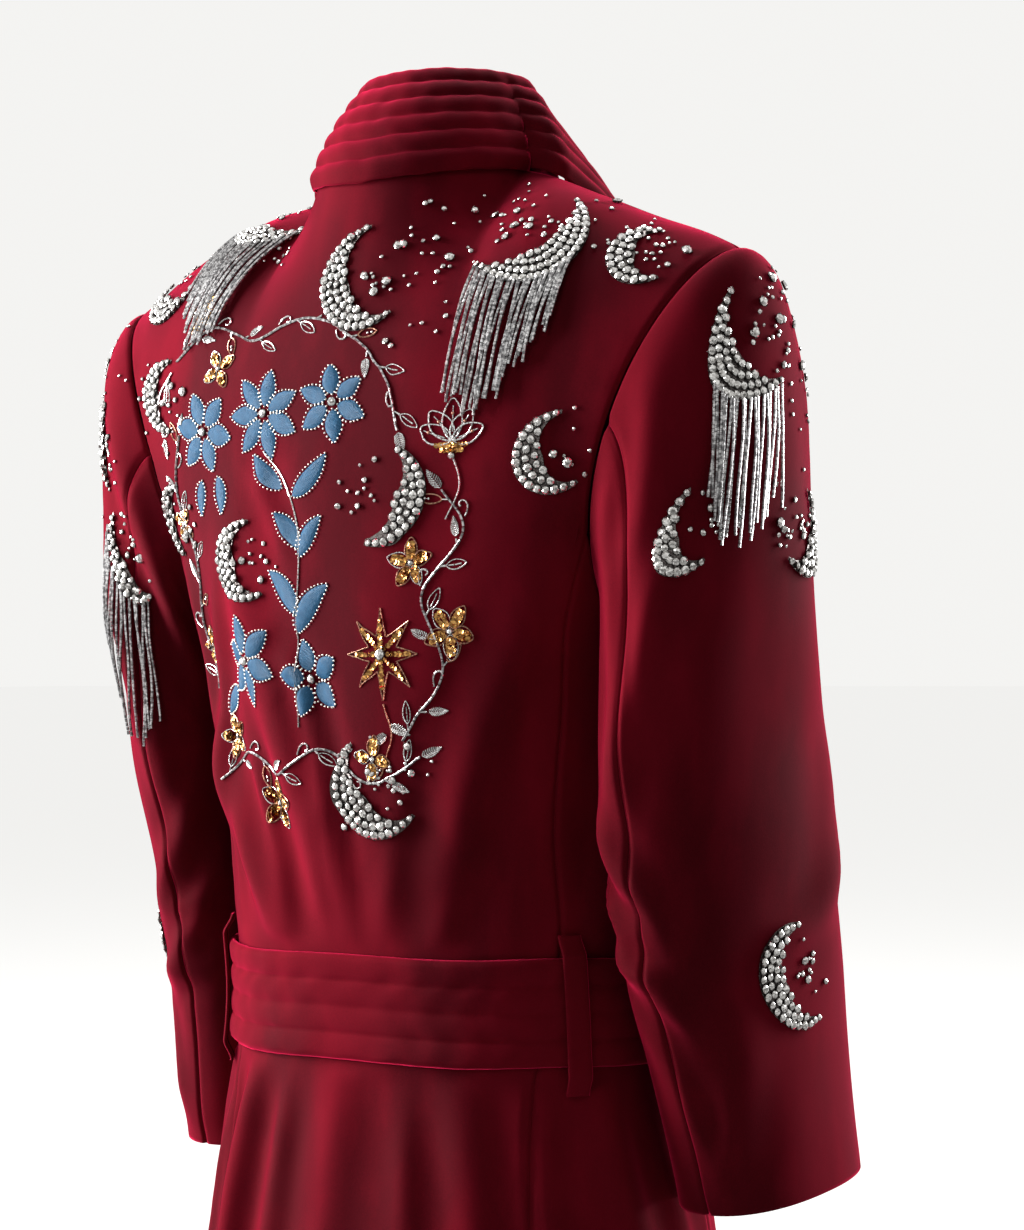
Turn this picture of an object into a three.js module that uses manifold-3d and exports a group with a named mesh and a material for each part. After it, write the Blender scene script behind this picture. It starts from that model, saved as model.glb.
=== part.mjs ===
// A belted velvet jacket with a quilted shawl collar, shown as it is worn, hollow and open at neck and hem.
// Millimetres, +Z up, the front faces -Y and the wearer's left is +X. The origin lies between the neck points.
import * as THREE from "three";
import Module from "manifold-3d";
import { mergeVertices } from "three/addons/utils/BufferGeometryUtils.js";

// Driving sizes
const cloth = 2.4; // velvet and its backing, one wall
const seamShare = 0.0014; // half a seam's gap, as a share of a panel's width
const neckPoint = { x: 80, y: 0, z: 4 };
const nape = { y: 76, z: 0 };
const shoulderPoint = { x: 250, y: 8, z: -66 };
const armpit = { x: 168, y: -5, z: -318 };
const armholeDeep = { back: 78, front: 72, bow: 14, lean: 1.3 };
const hem = -800;
const bladeHeight = -150; // above this height the panels turn over the shoulder
const neckShare = 0.33; // share of half the back's top edge that is neck seam
const sideSeams = { armholeBack: 115, armholeFront: 222, front: 108 };
const roundness = 0.86; // 1 is an ellipse, less is squarer
const belt = { top: -519, bottom: -589, wall: 2.6, clear: 2, quilt: 2, bands: 4, columns: 48, turn: 400 };
const lap = { start: 165, from: 440, over: 62 }; // angles: where the belt starts, and where it laps over itself
const loop = { angle: 59, width: 19, top: -503, bottom: -606, wall: 2, clear: 1.1, over: 9.6 };
const collar = { bands: 6, columns: 36, wall: 2.4, quilt: 2, above: 5.4, onShoulder: 0.145, belowNape: 0.016 };
const uneven = 5; // the left shoulder is carried this much higher than even, the right this much lower
const sleeveGap = 0.7;
const cuff = -672;
const bicep = -338;
const cuffTilt = 0.12; // how much lower the cuff's back hangs than its front, per mm of depth
const torsoRadius = 150; // for turning angles into widths where folds and loops are laid out
const sleeveRadius = 68;
const pullReach = 130; // below the armhole, the side seam finds its place on the section over this height
const sleeveSeams = { back: 84, front: 232 };

// Torso sections: height, half width, how far back and front lie from the middle, and where the middle is.
// seam is the side-back seam's angle from the centre back, and edge how far the front stays from the centre.
const torso = [
  { z: -800, wide: 200, back: 138, front: 134, middle: -22, seam: 42, edge: -64 },
  { z: -690, wide: 179, back: 131, front: 124, middle: -24, seam: 43, edge: -58 },
  { z: -595, wide: 163, back: 121, front: 112, middle: -25, seam: 47, edge: -52 },
  { z: -554, wide: 160, back: 119, front: 109, middle: -25, seam: 53, edge: -48 },
  { z: -505, wide: 160, back: 122, front: 113, middle: -22, seam: 57, edge: -42 },
  { z: -430, wide: 159, back: 126, front: 120, middle: -16, seam: 58, edge: -24 },
  { z: -318, wide: 168, back: 125, front: 126, middle: -5, seam: 64, edge: 8 },
  { z: -245, wide: 186, back: 121, front: 125, middle: -3, seam: 69, edge: 28 },
  { z: -150, wide: 200, back: 113, front: 116, middle: 0, seam: 70, edge: 54 },
];

// Sleeve sections: height, middle, how far the cloth lies outwards, inwards, back and forward of it,
// how many degrees the section is turned, and how much further forward the left arm is than the right.
const sleeve = [
  { z: -338, x: 217, y: -10, outer: 47, inner: 45, back: 89, front: 86, turned: 12, lead: 4 },
  { z: -400, x: 214, y: -18, outer: 47, inner: 45, back: 92, front: 90, turned: 12, lead: 4 },
  { z: -460, x: 213, y: -34, outer: 47, inner: 44, back: 94, front: 91, turned: 12, lead: 7 },
  { z: -520, x: 214, y: -46, outer: 47, inner: 42, back: 92, front: 88, turned: 11, lead: 9 },
  { z: -580, x: 216, y: -59, outer: 46, inner: 42, back: 83, front: 82, turned: 9, lead: 8 },
  { z: -638, x: 219, y: -68, outer: 46, inner: 42, back: 77, front: 76, turned: 8, lead: 5 },
  { z: -672, x: 221, y: -74, outer: 46, inner: 42, back: 74, front: 73, turned: 8, lead: 5 },
];

// The largest folds of the torso: from and to are angle from centre back (left is plus) and height.
const torsoFolds = [
  { fromAngle: 66, fromZ: -330, toAngle: 28, toZ: -505, wide: 20, deep: 7 },
  { fromAngle: 40, fromZ: -250, toAngle: 4, toZ: -470, wide: 22, deep: 5 },
  { fromAngle: 82, fromZ: -350, toAngle: 60, toZ: -508, wide: 18, deep: 6 },
  { fromAngle: -58, fromZ: -300, toAngle: -32, toZ: -470, wide: 20, deep: 5 },
  { fromAngle: -88, fromZ: -340, toAngle: -72, toZ: -508, wide: 18, deep: 6 },
  { fromAngle: 70, fromZ: -600, toAngle: 80, toZ: -790, wide: 19, deep: 7 },
  { fromAngle: 40, fromZ: -600, toAngle: 50, toZ: -790, wide: 20, deep: 5 },
  { fromAngle: -70, fromZ: -600, toAngle: -80, toZ: -790, wide: 19, deep: 7 },
  { fromAngle: -36, fromZ: -600, toAngle: -42, toZ: -790, wide: 22, deep: 5 },
  { fromAngle: 4, fromZ: -600, toAngle: 6, toZ: -790, wide: 24, deep: 4 },
  { fromAngle: 132, fromZ: -600, toAngle: 136, toZ: -790, wide: 22, deep: 5 },
  { fromAngle: -132, fromZ: -600, toAngle: -138, toZ: -790, wide: 22, deep: 5 },
  { fromAngle: 122, fromZ: -340, toAngle: 146, toZ: -505, wide: 20, deep: 5 },
  { fromAngle: -122, fromZ: -340, toAngle: -146, toZ: -505, wide: 20, deep: 5 },
];

// The largest folds of each sleeve: turn about the sleeve (0 outermost, 90 back) and height.
const sleeveFolds = [
  { fromAngle: 50, fromZ: -250, toAngle: 96, toZ: -420, wide: 20, deep: 5 },
  { fromAngle: 124, fromZ: -420, toAngle: 60, toZ: -500, wide: 16, deep: 5 },
  { fromAngle: 116, fromZ: -500, toAngle: 54, toZ: -560, wide: 15, deep: 5 },
  { fromAngle: -60, fromZ: -380, toAngle: -30, toZ: -500, wide: 20, deep: 4 },
  { fromAngle: 30, fromZ: -560, toAngle: 60, toZ: -660, wide: 18, deep: 4 },
];

const degree = Math.PI / 180;
const v3 = (x, y, z) => new THREE.Vector3(x, y, z);
const mix = THREE.MathUtils.lerp;
const clamp01 = (t) => Math.min(1, Math.max(0, t));
const smooth = (t) => clamp01(t) ** 2 * (3 - 2 * clamp01(t));
const power = (t, p) => Math.sign(t) * Math.abs(t) ** p;

// A column of a table at a place of its key column: a smooth curve through its rows, which run up or down.
const read = (table, column, z) => readBy(table, "z", column, z);
function readBy(table, key, column, at) {
  const rows = table[0][key] < table.at(-1)[key] ? table : [...table].reverse();
  const last = rows.length - 2;
  let i = 0;
  while (i < last && at > rows[i + 1][key]) i++;
  const slope = (k) => {
    const a = rows[Math.max(k - 1, 0)];
    const b = rows[Math.min(k + 1, last + 1)];
    return (b[column] - a[column]) / (b[key] - a[key]);
  };
  const [from, to] = [rows[i], rows[i + 1]];
  const span = to[key] - from[key];
  const t = clamp01((at - from[key]) / span);
  return (
    from[column] * (1 + 2 * t) * (1 - t) ** 2 +
    slope(i) * span * t * (1 - t) ** 2 +
    to[column] * t * t * (3 - 2 * t) +
    slope(i + 1) * span * t * t * (t - 1)
  );
}

// A curve from a to b that leaves along out and arrives along into, both with their lengths.
function bend(a, out, b, into, t) {
  const s = 1 - t;
  return v3(0, 0, 0)
    .addScaledVector(a, (1 + 2 * t) * s * s)
    .addScaledVector(out, t * s * s)
    .addScaledVector(b, t * t * (3 - 2 * t))
    .addScaledVector(into, t * t * (t - 1));
}

// How far the folds push the cloth out at an angle and height: soft ridges with a shallow trough on each side.
function folded(folds, angle, z, radius) {
  let out = 0;
  for (const f of folds) {
    const [dx, dz] = [(f.toAngle - f.fromAngle) * degree * radius, f.toZ - f.fromZ];
    const [px, pz] = [(angle - f.fromAngle) * degree * radius, z - f.fromZ];
    const length = Math.hypot(dx, dz);
    const along = (px * dx + pz * dz) / length ** 2;
    const across = (px * dz - pz * dx) / length / f.wide;
    const ends = smooth((along + 0.25) / 0.5) * smooth((1.25 - along) / 0.5);
    out += f.deep * ends * (1 - across ** 2) * Math.exp(-(across ** 2) / 1.4);
  }
  return out;
}

// The left armhole, turn 0 at the shoulder point, 90 at the back, 180 at the armpit and 270 in front.
function armhole(turn) {
  const up = (1 + Math.cos(turn * degree)) / 2;
  const side = Math.sin(turn * degree);
  const deep = side > 0 ? armholeDeep.back : armholeDeep.front;
  return v3(
    mix(armpit.x, shoulderPoint.x, up ** armholeDeep.lean) - armholeDeep.bow * side ** 2,
    mix(armpit.y, shoulderPoint.y, up) + deep * side,
    mix(armpit.z, shoulderPoint.z, up),
  );
}
const armholeNormal = (turn) => v3(0.25, Math.sin(turn * degree), Math.cos(turn * degree)).normalize();
function armholeTurn(z, front) {
  const up = clamp01((z - armpit.z) / (shoulderPoint.z - armpit.z));
  const turn = Math.acos(2 * up - 1) / degree;
  return front ? 360 - turn : turn;
}
const junction = { back: armhole(sideSeams.armholeBack), front: armhole(sideSeams.armholeFront) };

// A point of the torso section at a height and an angle from the centre back.
function ring(angle, z, out = 0) {
  const [s, c] = [Math.sin(angle * degree), Math.cos(angle * degree)];
  const deep = read(torso, c > 0 ? "back" : "front", z) + out;
  const wide = read(torso, "wide", z) + out;
  return v3(wide * power(s, roundness), read(torso, "middle", z) + deep * power(c, roundness), z);
}
const seamAngle = (z, front) => (front ? sideSeams.front : read(torso, "seam", z));
const edgeAngle = (z) =>
  180 - Math.asin(power(read(torso, "edge", z) / read(torso, "wide", z), 1 / roundness)) / degree;
const radial = (point) => v3(point.x, point.y - read(torso, "middle", point.z), 0).normalize();

// How far the side seam or armhole edge lies from the torso section at height z.
function pulled(z, front) {
  const meet = front ? junction.front : junction.back;
  if (z >= meet.z) return armhole(armholeTurn(z, front)).sub(ring(seamAngle(z, front), z));
  const fade = 1 - smooth((meet.z - z) / pullReach);
  return meet.clone().sub(ring(seamAngle(meet.z, front), meet.z)).multiplyScalar(fade);
}

// Folds die out just above and below the belt.
const calm = { beyond: 14, over: 12 };
const beltFree = (z) =>
  1 - smooth((z - belt.bottom + calm.beyond) / calm.over) * smooth((belt.top + calm.beyond - z) / calm.over);
function creased(point, angle, free) {
  const out = folded(torsoFolds, angle, point.z, torsoRadius) * free * beltFree(point.z);
  return point.addScaledVector(radial(point), out);
}

// A row of the back or front below the blades: share is 1 at the side, 0 at the centre back or front's edge.
function torsoRow(share, z, front) {
  const angle = front ? mix(edgeAngle(z), seamAngle(z, true), share) : share * seamAngle(z, false);
  return ring(angle, z).addScaledVector(pulled(z, front), share ** 3);
}

// The top edge of the back: half the neck seam, then the shoulder seam.
function backTop(share) {
  if (share > neckShare) return shoulderLine((share - neckShare) / (1 - neckShare));
  const turn = (share / neckShare) * 90 * degree;
  const height = mix(nape.z, neckPoint.z, share / neckShare);
  return v3(neckPoint.x * Math.sin(turn), neckPoint.y + (nape.y - neckPoint.y) * Math.cos(turn), height);
}
function shoulderLine(share) {
  return v3(
    mix(neckPoint.x, shoulderPoint.x, share),
    mix(neckPoint.y, shoulderPoint.y, share),
    mix(neckPoint.z, shoulderPoint.z, share) + 6 * Math.sin(share * Math.PI),
  );
}
const shoulderNormal = v3(0.38, 0, 0.92).normalize();

// How the cloth lies where it meets the top edge: over the shoulder it runs level, at the neck it stands.
const arrival = {
  shoulder: { level: 1, up: 0.1 },
  frontNeck: { level: 0.75, up: 0.66 },
  backNeck: { level: 0.25, up: 0.97 },
};
const neckHold = { front: 0.35, from: 0.08, back: 0.45 }; // shares of the width over which the neck's lie fades

// The upper part of the back or front, from the blade height at 0 to the top edge at 1.
function yoke(share, t, front) {
  const over = front ? 1 : -1;
  const nearNeck = 1 - smooth(front ? share / neckHold.front : (share - neckHold.from) / neckHold.back);
  const column = (s) => {
    const low = torsoRow(s, bladeHeight, front);
    const high = front ? shoulderLine(s) : backTop(s);
    const rise = low.clone().sub(torsoRow(s, bladeHeight - 4, front)).divideScalar(4);
    const reach = low.distanceTo(high) * 1.05;
    const neck = front ? arrival.frontNeck : arrival.backNeck;
    const level = over * mix(arrival.shoulder.level, neck.level, nearNeck);
    const arrive = v3(0, level, mix(arrival.shoulder.up, neck.up, nearNeck));
    return bend(low, rise.multiplyScalar(reach), high, arrive.multiplyScalar(reach), t);
  };
  const from = armholeTurn(bladeHeight, front);
  const edge = armhole(mix(from, front ? 360 : 0, t));
  return column(share).addScaledVector(edge.sub(column(1)), share ** 4);
}

// One back half or front as a surface for the wearer's left: share across, v 0 at the hem, 1 at the top edge.
const panelRows = 31;
const rows = { seam: 16 / panelRows, blade: 21 / panelRows }; // where the side seam ends and the yoke starts
function heightAt(v, front) {
  const meet = front ? junction.front.z : junction.back.z;
  if (v <= rows.seam) return mix(hem, meet, v / rows.seam);
  return mix(meet, bladeHeight, clamp01((v - rows.seam) / (rows.blade - rows.seam)));
}
function leftPanel(share, v, front) {
  if (v > rows.blade) return yoke(share, (v - rows.blade) / (1 - rows.blade), front);
  return torsoRow(share, heightAt(v, front), front);
}
// The wearer carries one shoulder higher, which shows between the neck and the shoulder point.
function carried(point) {
  const along = (Math.abs(point.x) - neckPoint.x) / (shoulderPoint.x - 14 - neckPoint.x);
  const bell = Math.sin(clamp01(along) * Math.PI) ** 2;
  return point.setZ(point.z + uneven * Math.sign(point.x) * bell * smooth((point.z + 150) / 90));
}
const panelAngle = (point) => Math.atan2(point.x, point.y - read(torso, "middle", point.z)) / degree;
function back(share, v) {
  const point = leftPanel(Math.abs(share), v, false);
  if (share < 0) point.x *= -1;
  const free = smooth((1 - Math.abs(share)) / 0.25) * smooth((bladeHeight - point.z) / 60);
  return carried(creased(point, panelAngle(point), free));
}

// The right front lies under the left, so it is set in where the two overlap.
const overlap = { from: -118, reach: 46, top: -262, height: 66, deep: 10 };
const tightened = { top: -460, bottom: -640, over: 40, deep: 4.2 };
function front(share, v, side) {
  const point = leftPanel(share, v, true);
  point.x *= side;
  const free = smooth((1 - share) / 0.15) * smooth(share / 0.3) * smooth((bladeHeight - point.z) / 60);
  carried(creased(point, panelAngle(point), free));
  if (side > 0) return point;
  const { x, y, z } = point;
  const near = smooth((x - overlap.from) / overlap.reach) * smooth((overlap.top - z) / overlap.height);
  const tight = smooth((tightened.top - z) / tightened.over) * smooth((z - tightened.bottom) / tightened.over);
  return point.setY(y + mix(overlap.deep, tightened.deep, tight) * near);
}

// The side panel: across 0 at the back seam and 1 at the front seam, v 0 at the hem and 1 at the armhole.
function sidePanel(across, v, side) {
  const turn = mix(sideSeams.armholeBack, sideSeams.armholeFront, across);
  const top = armhole(turn);
  const plain = (z) =>
    ring(mix(seamAngle(Math.min(z, junction.back.z), false), seamAngle(z, true), across), z)
      .addScaledVector(pulled(Math.min(z, junction.back.z), false), 1 - across)
      .addScaledVector(pulled(Math.min(z, junction.front.z), true), across);
  const point = plain(mix(hem, top.z, v));
  point.addScaledVector(top.sub(plain(top.z)), smooth((v - 0.66) / 0.34));
  point.x *= side;
  const free = smooth(across / 0.25) * smooth((1 - across) / 0.25) * smooth((0.9 - v) / 0.2);
  return creased(point, panelAngle(point), free);
}

// The sleeve: turn as on the armhole, v 0 at the armhole, sleeveCap at the bicep and 1 at the cuff.
const sleeveCap = 0.4;
// The way the cap leaves the armhole: outwards, more so on top, and how full it is there and under the arm.
const crown = { out: 0.72, outer: 0.28, aside: 0.3, up: -0.55, outerUp: 0.5, topFull: 0.52, underFull: 0.8 };
function sleeveRing(turn, z, side) {
  const [c, s] = [Math.cos(turn * degree), Math.sin(turn * degree)];
  const out = read(sleeve, c > 0 ? "outer" : "inner", z) * power(c, roundness);
  const aft = read(sleeve, s > 0 ? "back" : "front", z) * power(s, roundness);
  const spin = read(sleeve, "turned", z) * degree;
  const tilt = cuffTilt * smooth((bicep - z) / (bicep - cuff));
  return v3(
    read(sleeve, "x", z) + out * Math.cos(spin) - aft * Math.sin(spin),
    read(sleeve, "y", z) - side * read(sleeve, "lead", z) + out * Math.sin(spin) + aft * Math.cos(spin),
    z - tilt * aft,
  );
}
function sleeveAt(turn, v, side) {
  const z = mix(bicep, cuff, clamp01((v - sleeveCap) / (1 - sleeveCap)));
  let point = sleeveRing(turn, z, side);
  if (v < sleeveCap) {
    const [c, s] = [Math.cos(turn * degree), Math.sin(turn * degree)];
    const start = armhole(turn);
    const end = sleeveRing(turn, bicep, side);
    const reach = start.distanceTo(end);
    const out = v3(crown.out + crown.outer * c, crown.aside * s, crown.up + crown.outerUp * c).normalize();
    out.multiplyScalar(reach * mix(crown.underFull, crown.topFull, (1 + c) / 2));
    const fall = sleeveRing(turn, bicep - 1, side).sub(end).multiplyScalar(reach);
    point = bend(start, out, end, fall, v / sleeveCap);
  }
  const level = Math.min(point.z, bicep);
  const middle = v3(read(sleeve, "x", level), read(sleeve, "y", level), point.z);
  const outside = 1 - smooth((-Math.cos(turn * degree) - 0.25) / 0.5);
  const free = smooth((v - 0.08) / 0.2) * smooth((1 - v) / 0.08) * outside;
  const angle = turn > 180 ? turn - 360 : turn;
  const fold = folded(sleeveFolds, angle, point.z, sleeveRadius) * free;
  point.addScaledVector(point.clone().sub(middle).setZ(0).normalize(), fold);
  return v3((point.x + sleeveGap) * side, point.y, point.z);
}

// A closed wall from a grid of points: its outer face, its inner face one thickness in, and the rim.
// normalAt may give the direction out at a place of the rim that two walls share. lift raises the outer
// face only.
function wall(rowCount, columnCount, pointAt, options = {}) {
  const { thick = cloth, normalAt = () => null, lift = () => 0 } = options;
  const { raise = 0, round = false, flip = false } = options;
  const grid = [];
  const lastColumn = round ? columnCount - 1 : columnCount;
  for (let i = 0; i <= rowCount; i++)
    grid.push(Array.from({ length: lastColumn + 1 }, (_, j) => pointAt(i / rowCount, j / columnCount)));
  const held = (i, n) => Math.min(Math.max(i, 0), n);
  const column = (j) => (round ? (j + columnCount) % columnCount : held(j, columnCount));
  const at = (i, j) => grid[held(i, rowCount)][column(j)];
  const outer = [];
  const inner = [];
  for (let i = 0; i <= rowCount; i++)
    for (let j = 0; j <= lastColumn; j++) {
      const down = at(i + 1, j).clone().sub(at(i - 1, j));
      const along = at(i, j + 1).clone().sub(at(i, j - 1));
      const face = down.cross(along).normalize().multiplyScalar(flip ? -1 : 1);
      const n = normalAt(i / rowCount, j / columnCount) || face;
      outer.push(grid[i][j].clone().addScaledVector(n, raise + lift(i / rowCount, j / columnCount)));
      inner.push(grid[i][j].clone().addScaledVector(n, raise - thick));
    }
  const wide = lastColumn + 1;
  const id = (i, j) => i * wide + (round ? (j + columnCount) % columnCount : j);
  const deep = outer.length;
  const index = [];
  const quad = (a, b, c, d) => index.push(a, b, c, a, c, d);
  for (let i = 0; i < rowCount; i++)
    for (let j = 0; j < columnCount; j++) {
      quad(id(i, j), id(i + 1, j), id(i + 1, j + 1), id(i, j + 1));
      quad(deep + id(i, j), deep + id(i, j + 1), deep + id(i + 1, j + 1), deep + id(i + 1, j));
    }
  if (!round)
    for (let i = 0; i < rowCount; i++) {
      quad(id(i + 1, 0), id(i, 0), deep + id(i, 0), deep + id(i + 1, 0));
      const [top, low] = [id(i, columnCount), id(i + 1, columnCount)];
      quad(top, low, deep + low, deep + top);
    }
  for (let j = 0; j < columnCount; j++) {
    quad(id(0, j), id(0, j + 1), deep + id(0, j + 1), deep + id(0, j));
    quad(id(rowCount, j + 1), id(rowCount, j), deep + id(rowCount, j), deep + id(rowCount, j + 1));
  }
  return solid([...outer, ...inner], index);
}

// A closed mesh from points and triangles, turned round if it would be inside out.
function solid(points, index) {
  let volume = 0;
  for (let k = 0; k < index.length; k += 3)
    volume += points[index[k]].dot(points[index[k + 1]].clone().cross(points[index[k + 2]]));
  if (volume < 0)
    for (let k = 0; k < index.length; k += 3) [index[k + 1], index[k + 2]] = [index[k + 2], index[k + 1]];
  const geometry = new THREE.BufferGeometry().setFromPoints(points);
  geometry.setIndex(index);
  geometry.computeVertexNormals();
  return geometry;
}

const velvet = { color: 0x7d0f22, roughness: 0.9, metalness: 0 };
const jacket = new THREE.Group();
function add(name, geometry, look = velvet) {
  const mesh = new THREE.Mesh(geometry, new THREE.MeshStandardMaterial(look));
  mesh.name = name;
  jacket.add(mesh);
}

// The surfaces that collar and ornament lie on, by share or turn (a) and height (v). Panels run up with v and
// sleeves down. facing is 1 where a grows to the left as one looks at the cloth.
const backGrid = { from: -1, to: 1, columns: 16, rows: panelRows };
const frontGrid = { from: 0, to: 1, columns: 8, rows: panelRows };
const sleeveGrid = { from: sleeveSeams.front - 360, to: sleeveSeams.back, columns: 10, rows: 18 };
const underColumns = 8;
const surfaces = {
  back: { at: back, facing: 1, grid: backGrid },
  front_left: { at: (a, v) => front(a, v, 1), facing: -1, grid: frontGrid },
  front_right: { at: (a, v) => front(a, v, -1), facing: 1, grid: frontGrid },
  sleeve_left: { at: (a, v) => sleeveAt((a + 360) % 360, v, 1), facing: -1, grid: sleeveGrid },
  sleeve_right: { at: (a, v) => sleeveAt((a + 360) % 360, v, -1), facing: 1, grid: sleeveGrid },
};
function slopes(surface, a, v) {
  const step = 0.004;
  const wide = surface.at === back || Math.abs(a) <= 1 ? step : step * 100;
  const across = surface.at(a + wide, v).sub(surface.at(a - wide, v)).divideScalar(2 * wide);
  const climb = surface.at(a, Math.min(v + step, 1)).sub(surface.at(a, v - step));
  return { across, climb: climb.divideScalar(Math.min(v + step, 1) - v + step) };
}
function normalOn(surface, a, v) {
  const { across, climb } = slopes(surface, a, v);
  const upwards = surface.grid === sleeveGrid ? -1 : 1;
  return climb.cross(across).normalize().multiplyScalar(surface.facing * upwards);
}

const seamTwist = 190; // the height over which the seam's facing turns from the armhole's to the section's
// The direction out at a side seam, shared by the two panels that meet there.
function seamNormal(point, front, side) {
  const meet = front ? junction.front : junction.back;
  const turn = front ? sideSeams.armholeFront : sideSeams.armholeBack;
  const low = v3(Math.abs(point.x), point.y - read(torso, "middle", point.z), 0).normalize();
  const n = armholeNormal(turn).lerp(low, smooth((meet.z - point.z) / seamTwist)).normalize();
  return n.setX(n.x * side);
}

// The direction out along a panel's armhole and shoulder edges.
function panelNormal(share, v, front, side) {
  const mirrored = (n) => n.setX(n.x * side);
  if (share > 0.995) {
    if (v <= rows.seam + 1e-6) return seamNormal(leftPanel(1, v, front), front, side);
    const point = leftPanel(1, v, front);
    return mirrored(armholeNormal(armholeTurn(point.z, front)));
  }
  const onShoulder = front || share >= neckShare - 0.01;
  if (v > 0.999 && onShoulder) return mirrored(shoulderNormal.clone());
  return null;
}

const topGap = 0.0006;
const inset = (t) => mix(seamShare, 1 - seamShare, t);
add(
  "back",
  wall(panelRows, backGrid.columns, (v, u) => back(mix(-1 + seamShare, 1 - seamShare, u), v * (1 - topGap)), {
    normalAt: (v, u) => panelNormal(Math.abs(2 * u - 1), v, false, Math.sign(2 * u - 1) || 1),
  }),
);
for (const [side, name] of [[1, "left"], [-1, "right"]]) {
  add(
    "front_" + name,
    wall(panelRows, frontGrid.columns, (v, u) => front(u * (1 - seamShare), v * (1 - topGap), side), {
      flip: side > 0,
      normalAt: (v, u) => panelNormal(u, v, true, side),
    }),
  );
  add(
    "side_" + name,
    wall(Math.round(panelRows * rows.seam), 6, (v, u) => sidePanel(inset(u), v * (1 - topGap), side), {
      flip: side < 0,
      normalAt: (v, u) => {
        if (v > 0.999) {
          const n = armholeNormal(mix(sideSeams.armholeBack, sideSeams.armholeFront, u));
          return n.setX(n.x * side);
        }
        if (u < 0.001) return seamNormal(sidePanel(0, v, side), false, side);
        return u > 0.999 ? seamNormal(sidePanel(1, v, side), true, side) : null;
      },
    }),
  );
  // The sleeve's two pieces: the upper from the back seam over the outside to the front seam, and the under.
  const pieces = {
    upper: [sleeveGrid.from, sleeveGrid.to, sleeveGrid.columns],
    under: [sleeveSeams.back, sleeveSeams.front, underColumns],
  };
  for (const [piece, [from, to, columns]] of Object.entries(pieces))
    add(
      `sleeve_${piece}_${name}`,
      wall(sleeveGrid.rows, columns, (v, u) => sleeveAt((mix(from, to, inset(u)) + 360) % 360, v, side), {
        flip: side < 0,
        normalAt: (v, u) => {
          const turn = mix(from, to, u);
          const n = armholeNormal(turn);
          if (v < 0.001) return n.setX(n.x * side);
          if (u > 0.001 && u < 0.999) return null;
          return v3(0.25 * (1 - v) + Math.cos(turn * degree), Math.sin(turn * degree), 0)
            .lerp(armholeNormal(turn), 1 - smooth(v / 0.2))
            .normalize()
            .multiply(v3(side, 1, 1));
        },
      }),
    );
}

// The belt goes once round from under its own end at the front and laps over it, quilted in bands.
const beltOut = (angle) =>
  belt.clear + belt.wall + (belt.wall + belt.quilt + 1) * smooth((angle - lap.from) / lap.over);
add(
  "belt",
  wall(
    belt.bands * 2,
    belt.columns,
    (v, u) => {
      const angle = lap.start + belt.turn * u;
      return ring(angle, mix(belt.bottom, belt.top, v), beltOut(angle));
    },
    { thick: belt.wall, lift: (v) => belt.quilt * Math.abs(Math.sin(v * belt.bands * Math.PI)) },
  ),
);

// Two loops hold the belt at the side seams.
for (const [side, name] of [[1, "left"], [-1, "right"]])
  add(
    "belt_loop_" + name,
    wall(
      8,
      2,
      (v, u) => {
        const z = mix(loop.bottom, loop.top, v);
        const round = smooth(Math.min(v, 1 - v) / 0.14);
        const across = ((u - 0.5) * loop.width) / torsoRadius / degree;
        const point = ring(loop.angle + across, z, mix(loop.clear + loop.wall, loop.over, round));
        return point.setX(point.x * side);
      },
      { thick: loop.wall, flip: side < 0 },
    ),
  );

// The neck seam from the centre back (0) round the neck (to neckTurn) and down to the lapel's end (1).
const neckTurn = 0.34;
const lapelEnd = { left: 0.285, right: 0.475 }; // where the lapel ends, as a share of the front's height
function neckSeam(at, side) {
  if (at < neckTurn) return back((at / neckTurn) * neckShare * side, 1);
  return front(0, mix(1, side > 0 ? lapelEnd.left : lapelEnd.right, (at - neckTurn) / (1 - neckTurn)), side);
}

// How far the roll line lies in from the neck seam, forward of it and above it, and how wide the collar is
// outside the seam, how far it bulges, and how high its stand is.
const collarSections = [
  { at: 0, in: 0, forward: 42, up: 76, width: 9, bulge: 5 },
  { at: 0.17, in: 15, forward: 38, up: 74, width: 12, bulge: 5 },
  { at: 0.34, in: 20, forward: 24, up: 69, width: 30, bulge: 6 },
  { at: 0.44, in: 14, forward: 20, up: 58, width: 46, bulge: 8 },
  { at: 0.56, in: 7, forward: 15, up: 30, width: 64, bulge: 10 },
  { at: 0.68, in: 2, forward: 9, up: 8, width: 74, bulge: 10 },
  { at: 0.84, in: 1, forward: 5, up: 1, width: 60, bulge: 7 },
  { at: 1, in: 0, forward: 4.5, up: 0, width: 26, bulge: 4 },
];
const collarAt = (column, at) => readBy(collarSections, "at", column, at);
function rollLine(at, side) {
  const inward = -side * collarAt("in", at);
  return neckSeam(at, side).add(v3(inward, -collarAt("forward", at), collarAt("up", at)));
}
function freeEdge(at, side) {
  const width = collarAt("width", at);
  if (at < neckTurn) {
    const t = at / neckTurn;
    const share = t * (neckShare + collar.onShoulder * (1 - neckShare));
    return lifted(surfaces.back, share * side, 1 - collar.belowNape * (1 - t));
  }
  const v = mix(1, side > 0 ? lapelEnd.left : lapelEnd.right, (at - neckTurn) / (1 - neckTurn));
  const surface = side > 0 ? surfaces.front_left : surfaces.front_right;
  const share = width / front(0, v, side).distanceTo(front(1, v, side));
  return lifted(surface, share, v);
}
function lifted(surface, a, v) {
  const out = normalOn(surface, a, v);
  return { free: surface.at(a, v).addScaledVector(out, collar.above), out };
}
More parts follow.
